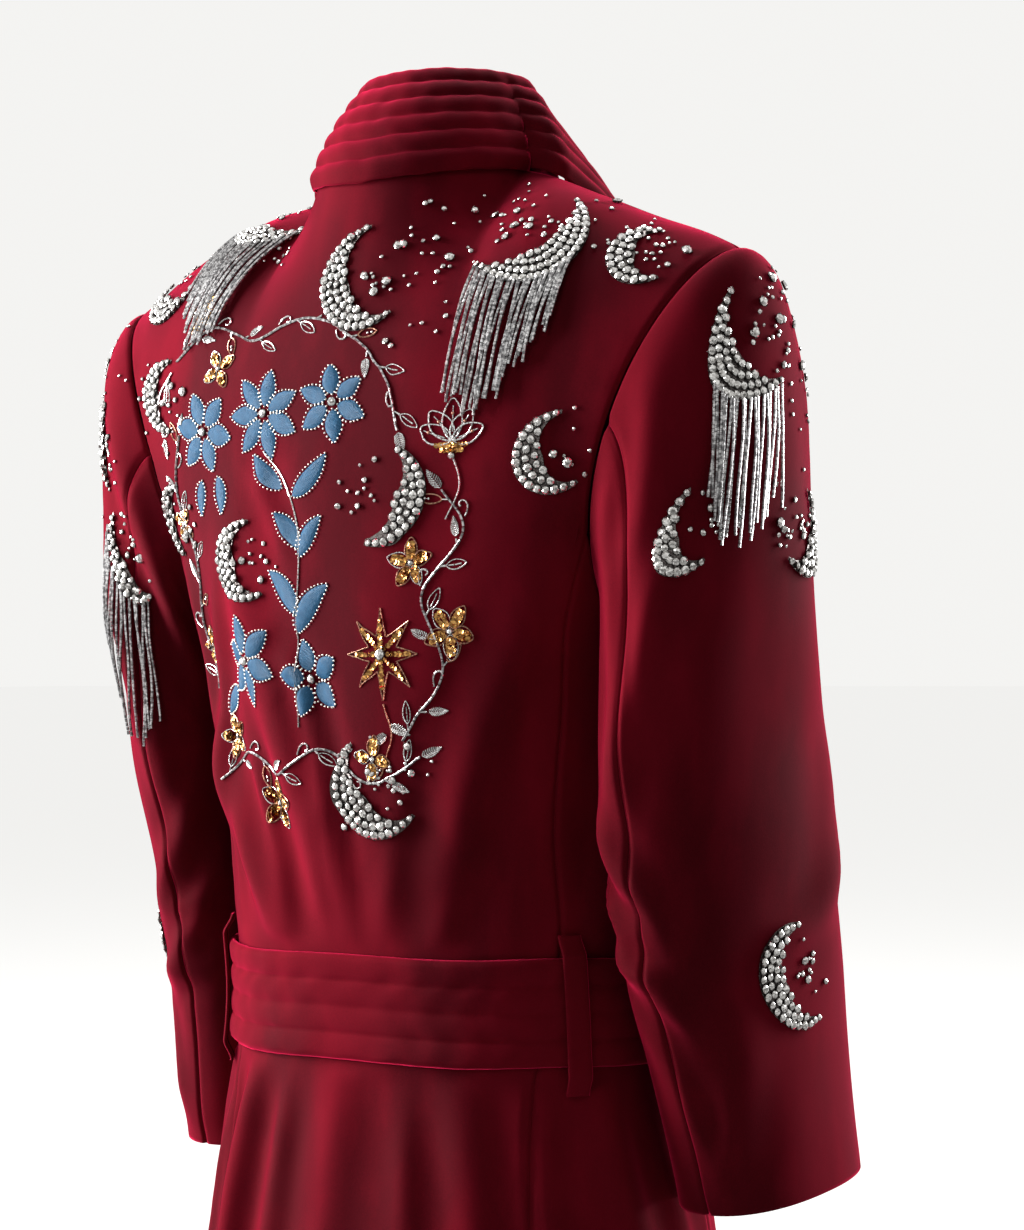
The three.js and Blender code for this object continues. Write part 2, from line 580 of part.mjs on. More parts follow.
function collarPoint(across, along) {
  const side = along < 0 ? -1 : 1;
  const at = Math.abs(along);
  const roll = rollLine(at, side);
  const { free, out: facing } = freeEdge(at, side);
  const step = 0.01;
  const ahead = rollLine(at > step ? at - step : at + step, side);
  const run = at > step ? roll.clone().sub(ahead) : ahead.sub(roll);
  const out = run.cross(free.clone().sub(roll)).normalize();
  if (out.dot(facing) < 0) out.negate();
  const bulge = collarAt("bulge", at) * 4 * across * (1 - across);
  return roll.lerp(free, across).addScaledVector(out, bulge);
}

// The collar's fall runs from the left lapel's end round the neck to the right lapel's end.
const collarRun = (u) => mix(1, -1, u);
add(
  "collar",
  wall(collar.bands * 2, collar.columns, (w, u) => collarPoint(w, collarRun(u)), {
    thick: collar.wall,
    lift: (w) => collar.quilt * Math.abs(Math.sin(w * collar.bands * Math.PI)),
  }),
);

// The stand inside the collar rises from the neck seam to just under the roll line.
const stand = { reach: 0.52, columns: 22, rows: 3, clear: 2, below: 8, inside: 4.5, middle: -24 };
add(
  "collar_stand",
  wall(
    stand.rows,
    stand.columns,
    (w, u) => {
      const along = mix(stand.reach, -stand.reach, u);
      const side = along < 0 ? -1 : 1;
      const foot = neckSeam(Math.abs(along), side);
      const head = rollLine(Math.abs(along), side);
      const reach = foot.distanceTo(head);
      const point = foot.lerp(head, mix(stand.clear, reach - stand.below, w) / reach);
      const inwards = v3(-point.x, stand.middle - point.y, 0).normalize();
      return point.addScaledVector(inwards, stand.inside * smooth(w * 1.5));
    },
    { thick: 2, flip: true },
  ),
);

// Crescents of set stones lie on the cloth, some with a fringe of beads. a is the place across its surface (a
// share of the back or front, or a turn round the sleeve), z its height, size its outer radius, arc how far
// each horn reaches round, and turned the way its full side points, in degrees up from the left of the cloth.
const crescents = [
  { name: "shoulder_right", on: "back", a: -0.475, z: -46, size: 46, arc: 98, turned: -143 },
  { name: "shoulder_left", on: "back", a: 0.45, z: -15, size: 34, arc: 84, turned: -72 },
  { name: "arm_right", on: "sleeve_right", a: 14, z: -124, size: 40, arc: 100, turned: -32 },
  { name: "arm_left", on: "sleeve_left", a: 80, z: -250, size: 30, arc: 90, turned: -70 },
  { name: "nape", on: "back", a: -0.05, z: -74, size: 38, arc: 108, turned: -24 },
  { name: "yoke_right", on: "back", a: -0.84, z: -70, size: 26, arc: 112, turned: -24 },
  { name: "blade_right", on: "back", a: -0.76, z: -196, size: 27, arc: 112, turned: -22 },
  { name: "elbow_right", on: "sleeve_right", a: 44, z: -247, size: 27, arc: 104, turned: -16 },
  { name: "outer_right", on: "sleeve_right", a: -23, z: -244, size: 30, arc: 104, turned: 208 },
  { name: "cuff_right", on: "sleeve_right", a: -2, z: -530, size: 36, arc: 112, turned: -10 },
  { name: "middle", on: "back", a: -0.155, z: -219, size: 32, arc: 94, turned: 198 },
  { name: "side_left", on: "back", a: 0.78, z: -226, size: 25, arc: 100, turned: 10 },
  { name: "waist_back", on: "back", a: -0.16, z: -408, size: 34, arc: 104, turned: -44 },
  { name: "blade_left", on: "back", a: 0.3, z: -258, size: 29, arc: 112, turned: -12 },
  { name: "yoke_left", on: "back", a: 0.77, z: -58, size: 31, arc: 102, turned: -52 },
  { name: "armhole_left", on: "back", a: 0.74, z: -140, size: 27, arc: 108, turned: 4 },
  { name: "upper_left", on: "sleeve_left", a: 52, z: -170, size: 26, arc: 104, turned: -6 },
  { name: "cuff_left", on: "sleeve_left", a: 20, z: -520, size: 33, arc: 108, turned: 166 },
  { name: "chest_left", on: "front_left", a: 0.76, z: -120, size: 29, arc: 104, turned: 16 },
  { name: "chest_right", on: "front_right", a: 0.76, z: -170, size: 27, arc: 108, turned: 176 },
];
// The fringes: how many strings of beads, the longest's length, and between which shares of the crescent
// they hang.
const fringes = {
  shoulder_right: { strands: 16, hangs: 88, from: 0.1, to: 0.88 },
  shoulder_left: { strands: 12, hangs: 84, from: 0.1, to: 0.8 },
  arm_right: { strands: 10, hangs: 84, from: 0.08, to: 0.5 },
  arm_left: { strands: 8, hangs: 96, from: 0.14, to: 0.88 },
};
const setting = { plate: 2.2, above: 1.15, fullest: 0.36, tip: 2.4, steps: 8, columns: 2 };
const bead = { radius: 1.05, hangsOff: 3.2, steps: 3, sides: 3 };

// The height share at which a surface reaches height z at a place across it.
function shareAt(surface, a, z) {
  const rising = surface.at(a, 0.9).z > surface.at(a, 0.5).z;
  let [low, high] = [0, 1];
  for (let k = 0; k < 24; k++) {
    const middle = (low + high) / 2;
    if (surface.at(a, middle).z > z === rising) high = middle;
    else low = middle;
  }
  return (low + high) / 2;
}

// The place reached from (a, v) by going left, as one looks at the cloth, and up by so many millimetres.
function walk(surface, a, v, left, up) {
  const steps = 5;
  for (let k = 0; k < steps; k++) {
    const slope = slopes(surface, a, v);
    a += ((left / steps) * surface.facing) / slope.across.length();
    v += ((up / steps) * Math.sign(slope.climb.z)) / slope.climb.length();
  }
  return { a, v };
}
// A point above the flat facets that a wall's grid makes of its surface.
function onCloth(surface, place, above) {
  const grid = surface.grid;
  const [x, y] = [((place.a - grid.from) / (grid.to - grid.from)) * grid.columns, place.v * grid.rows];
  const [j, i] = [Math.floor(x), Math.min(Math.floor(y), grid.rows - 1)];
  const at = (down, along) =>
    surface.at(mix(grid.from, grid.to, (j + along) / grid.columns), (i + down) / grid.rows);
  const [p, q] = [x - j, y - i];
  const corner = at(0, 0);
  const far = at(1, 1);
  const near = q >= p ? at(1, 0) : at(0, 1);
  const [first, second] = q >= p ? [q, p] : [p, q];
  return corner
    .clone()
    .addScaledVector(near.clone().sub(corner), first)
    .addScaledVector(far.sub(near), second)
    .addScaledVector(normalOn(surface, place.a, place.v), above);
}

// A crescent's place at a share along it (0 to 1) and across it (0 inside, 1 outside).
function crescentPlace(c, along, across) {
  const swing = mix(-c.arc, c.arc, along);
  const full = setting.fullest * c.size * 2 - setting.tip;
  const wide = setting.tip + full * Math.cos((along - 0.5) * Math.PI) ** 1.2;
  const radius = c.size - wide * (1 - across);
  const angle = (c.turned + swing) * degree;
  const v = shareAt(surfaces[c.on], c.a, c.z);
  return walk(surfaces[c.on], c.a, v, radius * Math.cos(angle), radius * Math.sin(angle));
}
function crescentPlate(c) {
  const surface = surfaces[c.on];
  const at = (along, across) => onCloth(surface, crescentPlace(c, along, across), 0);
  return wall(setting.steps, setting.columns, at, {
    thick: setting.plate,
    raise: setting.above + setting.plate,
    normalAt: (along, across) => {
      const place = crescentPlace(c, along, across);
      return normalOn(surface, place.a, place.v);
    },
  });
}

// One string of beads hangs straight down from a crescent, just clear of the cloth.
function strand(c, start, hangs) {
  const surface = surfaces[c.on];
  const from = surface.at(start.a, start.v).z;
  const points = [];
  for (let k = 0; k <= bead.steps; k++) {
    const z = from - (hangs * k) / bead.steps;
    const place = { a: start.a, v: k ? shareAt(surface, start.a, z) : start.v };
    const out = normalOn(surface, place.a, place.v);
    const centre = onCloth(surface, place, k ? bead.hangsOff : setting.above + setting.plate / 2);
    const side = v3(0, 0, 1).cross(out).normalize();
    for (let j = 0; j < bead.sides; j++) {
      const angle = (j / bead.sides) * 2 * Math.PI;
      const rim = side.clone().multiplyScalar(Math.cos(angle)).addScaledVector(out, Math.sin(angle));
      points.push(centre.clone().addScaledVector(rim, bead.radius));
    }
  }
  const index = [];
  const n = bead.sides;
  for (let k = 0; k < bead.steps; k++)
    for (let j = 0; j < n; j++) {
      const [a, b] = [k * n + j, k * n + ((j + 1) % n)];
      index.push(a, b, b + n, a, b + n, a + n);
    }
  const end = bead.steps * n;
  for (let j = 1; j < n - 1; j++) index.push(0, j + 1, j, end, end + j, end + j + 1);
  return solid(points, index);
}

// A geometry as a solid that can be joined to others, and back.
const wasm = await Module();
wasm.setup();
function asManifold(geometry) {
  const corners = geometry.toNonIndexed().getAttribute("position");
  const plain = mergeVertices(new THREE.BufferGeometry().setAttribute("position", corners));
  const vertProperties = plain.attributes.position.array;
  return new wasm.Manifold(
    new wasm.Mesh({ numProp: 3, vertProperties, triVerts: new Uint32Array(plain.index.array) }),
  );
}
function asGeometry(manifold) {
  const mesh = manifold.getMesh();
  const geometry = new THREE.BufferGeometry();
  geometry.setAttribute("position", new THREE.Float32BufferAttribute(mesh.vertProperties, 3));
  geometry.setIndex(Array.from(mesh.triVerts));
  geometry.computeVertexNormals();
  return geometry;
}

// The strands start along the crescent's lower rim and end unevenly, longest in the middle.
const ending = { uneven: 0.16, shorter: 0.12, beat: 2.4 };
function fringed(c, fringe) {
  let whole = asManifold(crescentPlate(c));
  for (let k = 0; k < fringe.strands; k++) {
    const t = k / (fringe.strands - 1);
    const start = crescentPlace(c, mix(fringe.from, fringe.to, t), 0.5);
    const uneven = ending.uneven * (0.5 + 0.5 * Math.sin(k * ending.beat));
    const hangs = fringe.hangs * (1 - uneven - ending.shorter * Math.abs(2 * t - 1));
    whole = whole.add(asManifold(strand(c, start, hangs)));
  }
  return asGeometry(whole);
}

const stones = { color: 0xd9d6d0, roughness: 0.25, metalness: 0.4 };
for (const c of crescents) {
  const fringe = fringes[c.name];
  add("crescent_" + c.name, fringe ? fringed(c, fringe) : crescentPlate(c), stones);
}

export default jacket;
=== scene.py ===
import functools

import bpy
import numpy as np
from mathutils import Matrix, Vector


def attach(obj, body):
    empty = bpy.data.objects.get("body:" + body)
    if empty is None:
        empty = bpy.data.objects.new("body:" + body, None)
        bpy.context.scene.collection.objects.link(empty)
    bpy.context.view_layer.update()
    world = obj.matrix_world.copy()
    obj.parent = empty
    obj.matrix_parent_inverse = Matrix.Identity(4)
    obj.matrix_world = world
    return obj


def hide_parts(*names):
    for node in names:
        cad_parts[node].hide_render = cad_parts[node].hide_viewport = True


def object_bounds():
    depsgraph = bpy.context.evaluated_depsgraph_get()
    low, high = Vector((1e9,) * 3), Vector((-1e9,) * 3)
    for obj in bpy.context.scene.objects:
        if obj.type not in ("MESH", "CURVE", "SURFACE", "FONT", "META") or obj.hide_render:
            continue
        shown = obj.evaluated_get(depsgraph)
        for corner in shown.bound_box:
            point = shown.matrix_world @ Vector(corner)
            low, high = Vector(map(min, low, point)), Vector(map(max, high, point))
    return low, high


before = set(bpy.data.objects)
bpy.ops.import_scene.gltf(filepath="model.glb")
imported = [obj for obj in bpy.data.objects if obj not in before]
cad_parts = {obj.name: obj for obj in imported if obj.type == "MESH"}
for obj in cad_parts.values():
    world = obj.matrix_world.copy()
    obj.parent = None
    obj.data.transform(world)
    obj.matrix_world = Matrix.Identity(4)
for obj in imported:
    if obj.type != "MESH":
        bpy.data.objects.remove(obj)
cad_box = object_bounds()
MM = 0.001

# Driving sizes. x runs to the jacket's left, y to its back and z up, from between the neck points. NAPE is y
# and z. SEAM_ROW and BLADE_ROW are the height shares at which a panel passes the armpit and the blades, and
# SLEEVE_CAP the share of a sleeve that is its crown. LAPEL_END is a lapel's lower end on the left and right
# front, as a share of the front's height.
NECK_POINT = (80, 0, 4)
NAPE = (76, 0)
SHOULDER = (250, 8, -66)
ARMPIT = (168, -5, -318)
ARMHOLE = dict(back=78, front=72, bow=14, lean=1.3)
HEM = -800
BLADE = -150
NECK_SHARE = 0.33
SIDE_SEAMS = dict(armhole_back=115, armhole_front=222, front=108)
ROUNDNESS = 0.86
BELT = dict(top=-519, bottom=-589, clear=2, wall=2.6, quilt=2, start=165, turn=400, lap=440, over=62)
BELT_QUILTING = dict(bands=4, padding=2.2, puckers=190)
LOOP = dict(angle=59, width=19, top=-503, bottom=-606, wall=2, clear=1.1, over=9.6)
COLLAR = dict(above=5.4, tuck=2.8, roll_tuck=1.2, on_shoulder=0.145, below_nape=0.016)
COLLAR_QUILTING = dict(bands=6, padding=2.6, puckers=95)
STAND = dict(reach=0.52, clear=2, below_roll=7, inside=4.5, middle=-24)
UNEVEN = 5
SLEEVE_GAP = 0.7
CUFF = -672
BICEP = -338
CUFF_TILT = 0.12
TORSO_RADIUS = 150
SLEEVE_RADIUS = 68
SLEEVE_SEAMS = dict(back=84, front=232)
SLEEVE_CAP = 0.4
SEAM_ROW = 16 / 31
BLADE_ROW = 21 / 31
NECK_TURN = 0.34
LAPEL_END = {1: 0.285, -1: 0.475}

# Lengths along the cloth, for the relief near a seam, and the side panels' seam allowance: the share of their
# width by which they go on past each seam, and how deep it lies under the neighbour.
HALF_BACK, FRONT_WIDTH, SIDE_WIDTH, SLEEVE_RUN = 165, 150, 150, 380
ALLOWANCE, ALLOWANCE_DEPTH = 0.06, 2.8
# Where the left front lies over the right: the right one is set in past this x and below this height, and less
# under the belt.
OVERLAP = dict(x=-118, fade=46, top=-262, below=66, tight_from=-460, tight_to=-640, set_in=10, under_belt=4.2)

# The sections of trunk and sleeve by height, as the columns of two tables.
TORSO = dict(
    z=[-800, -690, -595, -554, -505, -430, -318, -245, -150],
    wide=[200, 179, 163, 160, 160, 159, 168, 186, 200],
    back=[138, 131, 121, 119, 122, 126, 125, 121, 113],
    front=[134, 124, 112, 109, 113, 120, 126, 125, 116],
    middle=[-22, -24, -25, -25, -22, -16, -5, -3, 0],
    seam=[42, 43, 47, 53, 57, 58, 64, 69, 70],
    edge=[-64, -58, -52, -48, -42, -24, 8, 28, 54],
)
SLEEVE = dict(
    z=[-672, -638, -580, -520, -460, -400, -338],
    x=[221, 219, 216, 214, 213, 214, 217],
    y=[-74, -68, -59, -46, -34, -18, -10],
    outer=[46, 46, 46, 47, 47, 47, 47],
    inner=[42, 42, 42, 42, 44, 45, 45],
    back=[74, 77, 83, 92, 94, 92, 89],
    front=[73, 76, 82, 88, 91, 90, 86],
    turned=[8, 8, 9, 11, 12, 12, 12],
    lead=[5, 5, 8, 9, 7, 4, 4],
)
COLLAR_SECTIONS = dict(
    at=[0, 0.17, 0.34, 0.44, 0.56, 0.68, 0.84, 1],
    inward=[0, 15, 20, 14, 7, 2, 1, 0],
    forward=[42, 38, 24, 20, 15, 9, 5, 4.5],
    up=[76, 74, 69, 58, 30, 8, 1, 0],
    width=[9, 12, 30, 46, 64, 74, 60, 26],
    bulge=[5, 5, 6, 8, 10, 10, 7, 4],
)

# The largest folds, as straight ridges between two places given by angle or turn, and height.
TORSO_FOLDS = dict(
    from_angle=[66, 40, 82, -58, -88, 70, 40, -70, -36, 4, 132, -132, 122, -122],
    from_z=[-330, -250, -350, -300, -340, -600, -600, -600, -600, -600, -600, -600, -340, -340],
    to_angle=[28, 4, 60, -32, -72, 80, 50, -80, -42, 6, 136, -138, 146, -146],
    to_z=[-505, -470, -508, -470, -508, -790, -790, -790, -790, -790, -790, -790, -505, -505],
    wide=[20, 22, 18, 20, 18, 19, 20, 19, 22, 24, 22, 22, 20, 20],
    deep=[7, 5, 6, 5, 6, 7, 5, 7, 5, 4, 5, 5, 5, 5],
)
SLEEVE_FOLDS = dict(
    from_angle=[50, 124, 116, -60, 30],
    from_z=[-250, -420, -500, -380, -560],
    to_angle=[96, 60, 54, -30, 60],
    to_z=[-420, -500, -560, -500, -660],
    wide=[20, 16, 15, 20, 18],
    deep=[5, 5, 5, 4, 4],
)

# Finer creases, each a soft ridge on a bent path through three places, with a trough on its right-hand side.
# Rows: angle and height of the three places, half width, height of the ridge, depth of the trough.
TORSO_CREASES = [
    (46, -262, 50, -371, 54, -508, 9, 3.2, 2.4),
    (36, -380, 29, -430, 23, -506, 8, 2.8, 2.2),
    (19, -330, 8, -362, -1, -505, 9, 3.2, 2.4),
    (31, -196, 24, -224, 14, -262, 8, 2.4, 1.6),
    (62, -240, 60, -360, 62, -500, 8, 2.6, 2.0),
    (8, -420, 10, -460, 6, -512, 10, 1.8, 1.2),
    (-24, -400, -20, -450, -14, -510, 12, 1.8, 1.2),
    (-44, -420, -38, -470, -30, -512, 10, 1.6, 1.0),
    (40, -606, 42, -680, 46, -798, 9, 4.0, 3.0),
    (54, -606, 57, -680, 62, -798, 8, 3.6, 3.0),
    (26, -606, 28, -700, 30, -798, 10, 3.0, 2.4),
    (-20, -606, -22, -700, -24, -798, 12, 2.6, 2.0),
    (-54, -606, -56, -700, -60, -798, 10, 3.2, 2.4),
    (84, -606, 88, -700, 92, -798, 10, 3.4, 2.4),
    (-84, -606, -90, -700, -94, -798, 10, 3.4, 2.4),
    (110, -606, 112, -700, 116, -798, 11, 3.0, 2.4),
    (-110, -606, -114, -700, -118, -798, 11, 3.0, 2.4),
    (150, -606, 152, -700, 154, -798, 12, 2.4, 2.0),
    (-152, -606, -154, -700, -158, -798, 12, 2.4, 2.0),
    (92, -360, 90, -430, 84, -512, 9, 2.6, 2.0),
    (-96, -360, -92, -430, -88, -512, 9, 2.6, 2.0),
    (112, -330, 124, -420, 132, -512, 11, 2.6, 2.0),
    (-112, -330, -124, -420, -132, -512, 11, 2.6, 2.0),
    (134, -300, 148, -400, 156, -512, 11, 2.2, 1.6),
    (-134, -300, -148, -400, -156, -512, 11, 2.2, 1.6),
]
SLEEVE_CREASES = {
    1: [
        (40, -110, 96, -226, 128, -330, 11, 3.4, 2.6),
        (58, -160, 104, -262, 138, -360, 9, 2.6, 2.0),
        (20, -100, 40, -200, 60, -330, 12, 2.2, 1.6),
        (128, -470, 96, -498, 62, -506, 9, 2.6, 2.2),
        (122, -530, 92, -548, 58, -552, 8, 2.0, 1.6),
        (-30, -120, -60, -230, -90, -340, 12, 2.6, 2.0),
        (-40, -460, -10, -500, 20, -512, 10, 2.0, 1.4),
        (150, -360, 200, -400, 240, -380, 10, 2.4, 2.0),
    ],
    -1: [
        (88, -100, 92, -190, 104, -262, 8, 2.8, 2.2),
        (74, -96, 70, -180, 82, -300, 12, 2.2, 1.6),
        (104, -250, 92, -330, 84, -420, 9, 2.0, 2.0),
        (136, -452, 112, -486, 72, -504, 8, 3.0, 2.4),
        (130, -500, 108, -520, 74, -526, 7, 2.2, 1.8),
        (96, -560, 84, -600, 70, -660, 10, 2.2, 1.6),
        (-30, -120, -60, -230, -90, -340, 12, 2.6, 2.0),
        (-50, -440, -20, -490, 10, -506, 10, 1.6, 1.2),
        (150, -360, 200, -400, 240, -380, 10, 2.4, 2.0),
    ],
}

# Crescents: the surface, its place across (share or turn), height, outer radius, how far each horn reaches
# round, and where the full side points.
CRESCENTS = {
    "shoulder_right": ("back", -0.475, -46, 46, 98, -143),
    "shoulder_left": ("back", 0.45, -15, 34, 84, -72),
    "arm_right": ("sleeve_right", 14, -124, 40, 100, -32),
    "arm_left": ("sleeve_left", 80, -250, 30, 90, -70),
    "nape": ("back", -0.05, -74, 38, 108, -24),
    "yoke_right": ("back", -0.84, -70, 26, 112, -24),
    "blade_right": ("back", -0.76, -196, 27, 112, -22),
    "elbow_right": ("sleeve_right", 44, -247, 27, 104, -16),
    "outer_right": ("sleeve_right", -23, -244, 30, 104, 208),
    "cuff_right": ("sleeve_right", -2, -530, 36, 112, -10),
    "middle": ("back", -0.155, -219, 32, 94, 198),
    "side_left": ("back", 0.78, -226, 25, 100, 10),
    "waist_back": ("back", -0.16, -408, 34, 104, -44),
    "blade_left": ("back", 0.3, -258, 29, 112, -12),
    "yoke_left": ("back", 0.77, -58, 31, 102, -52),
    "armhole_left": ("back", 0.74, -140, 27, 108, 4),
    "upper_left": ("sleeve_left", 52, -170, 26, 104, -6),
    "cuff_left": ("sleeve_left", 20, -520, 33, 108, 166),
    "chest_left": ("front_left", 0.76, -120, 29, 104, 16),
    "chest_right": ("front_right", 0.76, -170, 27, 108, 176),
}
# How they are set: the width at the fullest as a share of the outer radius's double and at most so many
# millimetres, the width at the horns, the rows' distance, the stones' width, and heights above the cloth.
SETTING = dict(fullest=0.36, most=24, tip=2.4, pitch=5.8, stone=5.9, stone_above=1.4, plate_above=0.9)
LOOSE_ABOVE = 0.7
# Fringes: strings, the longest and shortest in millimetres, which share of the crescent they hang from, and
# how far each leans to the left of the photograph going down.
FRINGES = {
    "shoulder_right": (34, 94, 50, 0.42, 0.97, 0.07),
    "shoulder_left": (28, 90, 52, 0.06, 0.86, 0.30),
    "arm_right": (20, 92, 60, 0.04, 0.54, 0.0),
    "arm_left": (16, 104, 66, 0.1, 0.9, 0.0),
}
FRINGE_BEAD = dict(pitch=2.55, radius=1.05)


# Reading the tables and simple curves


def cosd(angle):
    return np.cos(np.radians(angle))


def sind(angle):
    return np.sin(np.radians(angle))


def smooth(t):
    """An S from 0 to 1: t squared times 3 less 2t."""
    t = np.clip(t, 0, 1)
    return t * t * (3 - 2 * t)


def mix(a, b, t):
    return a + (b - a) * t


def power(t, p):
    return np.sign(t) * np.abs(t) ** p


def xyz(x, y, z):
    return np.stack(np.broadcast_arrays(x, y, z), axis=-1).astype(float)


def mirrored(point, side):
    """The same point on the jacket's left, side 1, or its right, side -1."""
    return point * np.array([side, 1, 1])


def grid_of(rows, columns):
    """Two arrays over a grid: the row's value and the column's value at each of its points."""
    return np.meshgrid(rows, columns, indexing="ij")


def size_of(v):
    return np.linalg.norm(v, axis=-1, keepdims=True)


def unit(v):
    return v / np.maximum(size_of(v), 1e-9)


def read(table, column, at, key="z"):
    """A column at a place of its key: a cubic through the rows, with slopes taken from their neighbours."""
    order = np.argsort(table[key])
    keys = np.asarray(table[key], float)[order]
    values = np.asarray(table[column], float)[order]
    k = np.arange(len(keys))
    before, after = np.maximum(k - 1, 0), np.minimum(k + 1, len(keys) - 1)
    slope = (values[after] - values[before]) / (keys[after] - keys[before])
    at = np.asarray(at, float)
    i = np.clip(np.searchsorted(keys, at) - 1, 0, len(keys) - 2)
    span = keys[i + 1] - keys[i]
    t = np.clip((at - keys[i]) / span, 0, 1)
    s = 1 - t
    ends = values[i] * (1 + 2 * t) * s * s + values[i + 1] * t * t * (3 - 2 * t)
    return ends + span * (slope[i] * t * s * s + slope[i + 1] * t * t * (t - 1))


def bend(a, out, b, into, t):
    """A curve from a to b that leaves along out and arrives along into."""
    t = np.asarray(t, float)[..., None]
    s = 1 - t
    return a * (1 + 2 * t) * s * s + out * t * s * s + b * t * t * (3 - 2 * t) + into * t * t * (t - 1)


def folded(folds, angle, z, radius):
    """Straight soft ridges: a bell across each line with a shallow trough on both sides, fading at both
    ends."""
    out = 0
    for a0, z0, a1, z1, wide, deep in zip(*folds.values()):
        dx, dz = np.radians(a1 - a0) * radius, z1 - z0
        px, pz = np.radians(angle - a0) * radius, z - z0
        reach = np.hypot(dx, dz)
        along = (px * dx + pz * dz) / reach**2
        across = (px * dz - pz * dx) / reach / wide
        ends = smooth((along + 0.25) / 0.5) * smooth((1.25 - along) / 0.5)
        out = out + deep * ends * (1 - across**2) * np.exp(-(across**2) / 1.4)
    return out


def creased(creases, angle, z, radius):
    """Bent soft ridges: the nearest step of each path gives the distance across it, signed to its right. The
    ridge is a bell that swells and thins along the path, and the trough a wider bell beside it."""
    across_cloth = np.radians(angle) * radius
    out = np.zeros(np.broadcast(angle, z).shape)
    steps = np.linspace(0, 1, 36)
    for a0, z0, a1, z1, a2, z2, wide, high, deep in creases:
        t, s = steps, 1 - steps
        path_x = np.radians(a0 * s * s + (4 * a1 - a0 - a2) * s * t + a2 * t * t) * radius
        path_z = z0 * s * s + (4 * z1 - z0 - z2) * s * t + z2 * t * t
        run = np.stack([np.gradient(path_x), np.gradient(path_z)], -1)
        pace = np.linalg.norm(run, axis=-1)
        run = run / pace[:, None]
        dx = across_cloth[..., None] - path_x
        dz = z[..., None] - path_z
        k = np.argmin(dx * dx + dz * dz, axis=-1)
        near_x = np.take_along_axis(dx, k[..., None], -1)[..., 0]
        near_z = np.take_along_axis(dz, k[..., None], -1)[..., 0]
        along = (k + (near_x * run[k, 0] + near_z * run[k, 1]) / pace[k]) / (len(steps) - 1)
        across = (near_x * run[k, 1] - near_z * run[k, 0]) / wide
        ends = smooth((along + 0.12) / 0.4) * smooth((1.12 - along) / 0.4)
        swell = 1 + 0.25 * np.sin(along * 9 + a0)
        ridge = high * swell * np.exp(-(across**2))
        trough = deep * np.exp(-(((across - 1.9) / 1.2) ** 2))
        trough = trough + 0.4 * deep * np.exp(-(((across + 2) / 1.1) ** 2))
        out = out + ends * (ridge - trough)
    return out


# The jacket's surfaces


def armhole(turn):
    """The left armhole: turn 0 at the shoulder point, 90 at the back, 180 at the armpit and 270 in front."""
    up = (1 + cosd(turn)) / 2
    side = sind(turn)
    deep = np.where(side > 0, ARMHOLE["back"], ARMHOLE["front"])
    x = mix(ARMPIT[0], SHOULDER[0], up ** ARMHOLE["lean"]) - ARMHOLE["bow"] * side**2
    return xyz(x, mix(ARMPIT[1], SHOULDER[1], up) + deep * side, mix(ARMPIT[2], SHOULDER[2], up))


def armhole_turn(z, front):
    up = np.clip((z - ARMPIT[2]) / (SHOULDER[2] - ARMPIT[2]), 0, 1)
    turn = np.degrees(np.arccos(2 * up - 1))
    return 360 - turn if front else turn


JUNCTION = {False: armhole(SIDE_SEAMS["armhole_back"]), True: armhole(SIDE_SEAMS["armhole_front"])}


def ring(angle, z, out=0):
    """A point of the trunk's section, a squared ellipse, at an angle from the centre back."""
    s, c = sind(angle), cosd(angle)
    deep = np.where(c > 0, read(TORSO, "back", z), read(TORSO, "front", z)) + out
    wide = read(TORSO, "wide", z) + out
    return xyz(wide * power(s, ROUNDNESS), read(TORSO, "middle", z) + deep * power(c, ROUNDNESS), z)


def seam_angle(z, front):
    return SIDE_SEAMS["front"] + 0 * z if front else read(TORSO, "seam", z)


def edge_angle(z):
    share = read(TORSO, "edge", z) / read(TORSO, "wide", z)
    return 180 - np.degrees(np.arcsin(power(share, 1 / ROUNDNESS)))


def pulled(z, front):
    """How far the seam at the side or the armhole edge lies from the trunk's section."""
    meet = JUNCTION[front]
    above = armhole(armhole_turn(z, front)) - ring(seam_angle(z, front), z)
    at_meet = meet - ring(seam_angle(meet[2], front), meet[2])
    fade = 1 - smooth((meet[2] - z) / 130)
    return np.where((z >= meet[2])[..., None], above, at_meet * fade[..., None])


def torso_row(share, z, front):
    z = np.asarray(z, float) + 0 * share
    angle = mix(edge_angle(z), seam_angle(z, True), share) if front else share * seam_angle(z, False)
    return ring(angle, z) + pulled(z, front) * (share**3)[..., None]


def shoulder_line(share):
    ends = [mix(NECK_POINT[k], SHOULDER[k], share) for k in range(3)]
    return xyz(ends[0], ends[1], ends[2] + 6 * np.sin(share * np.pi))


def back_top(share):
    turn = np.clip(share / NECK_SHARE, 0, 1)
    angle = turn * 90
    neck = xyz(
        NECK_POINT[0] * sind(angle),
        NECK_POINT[1] + (NAPE[0] - NECK_POINT[1]) * cosd(angle),
        mix(NAPE[1], NECK_POINT[2], turn),
    )
    on_shoulder = shoulder_line((share - NECK_SHARE) / (1 - NECK_SHARE))
    return np.where((share > NECK_SHARE)[..., None], on_shoulder, neck)


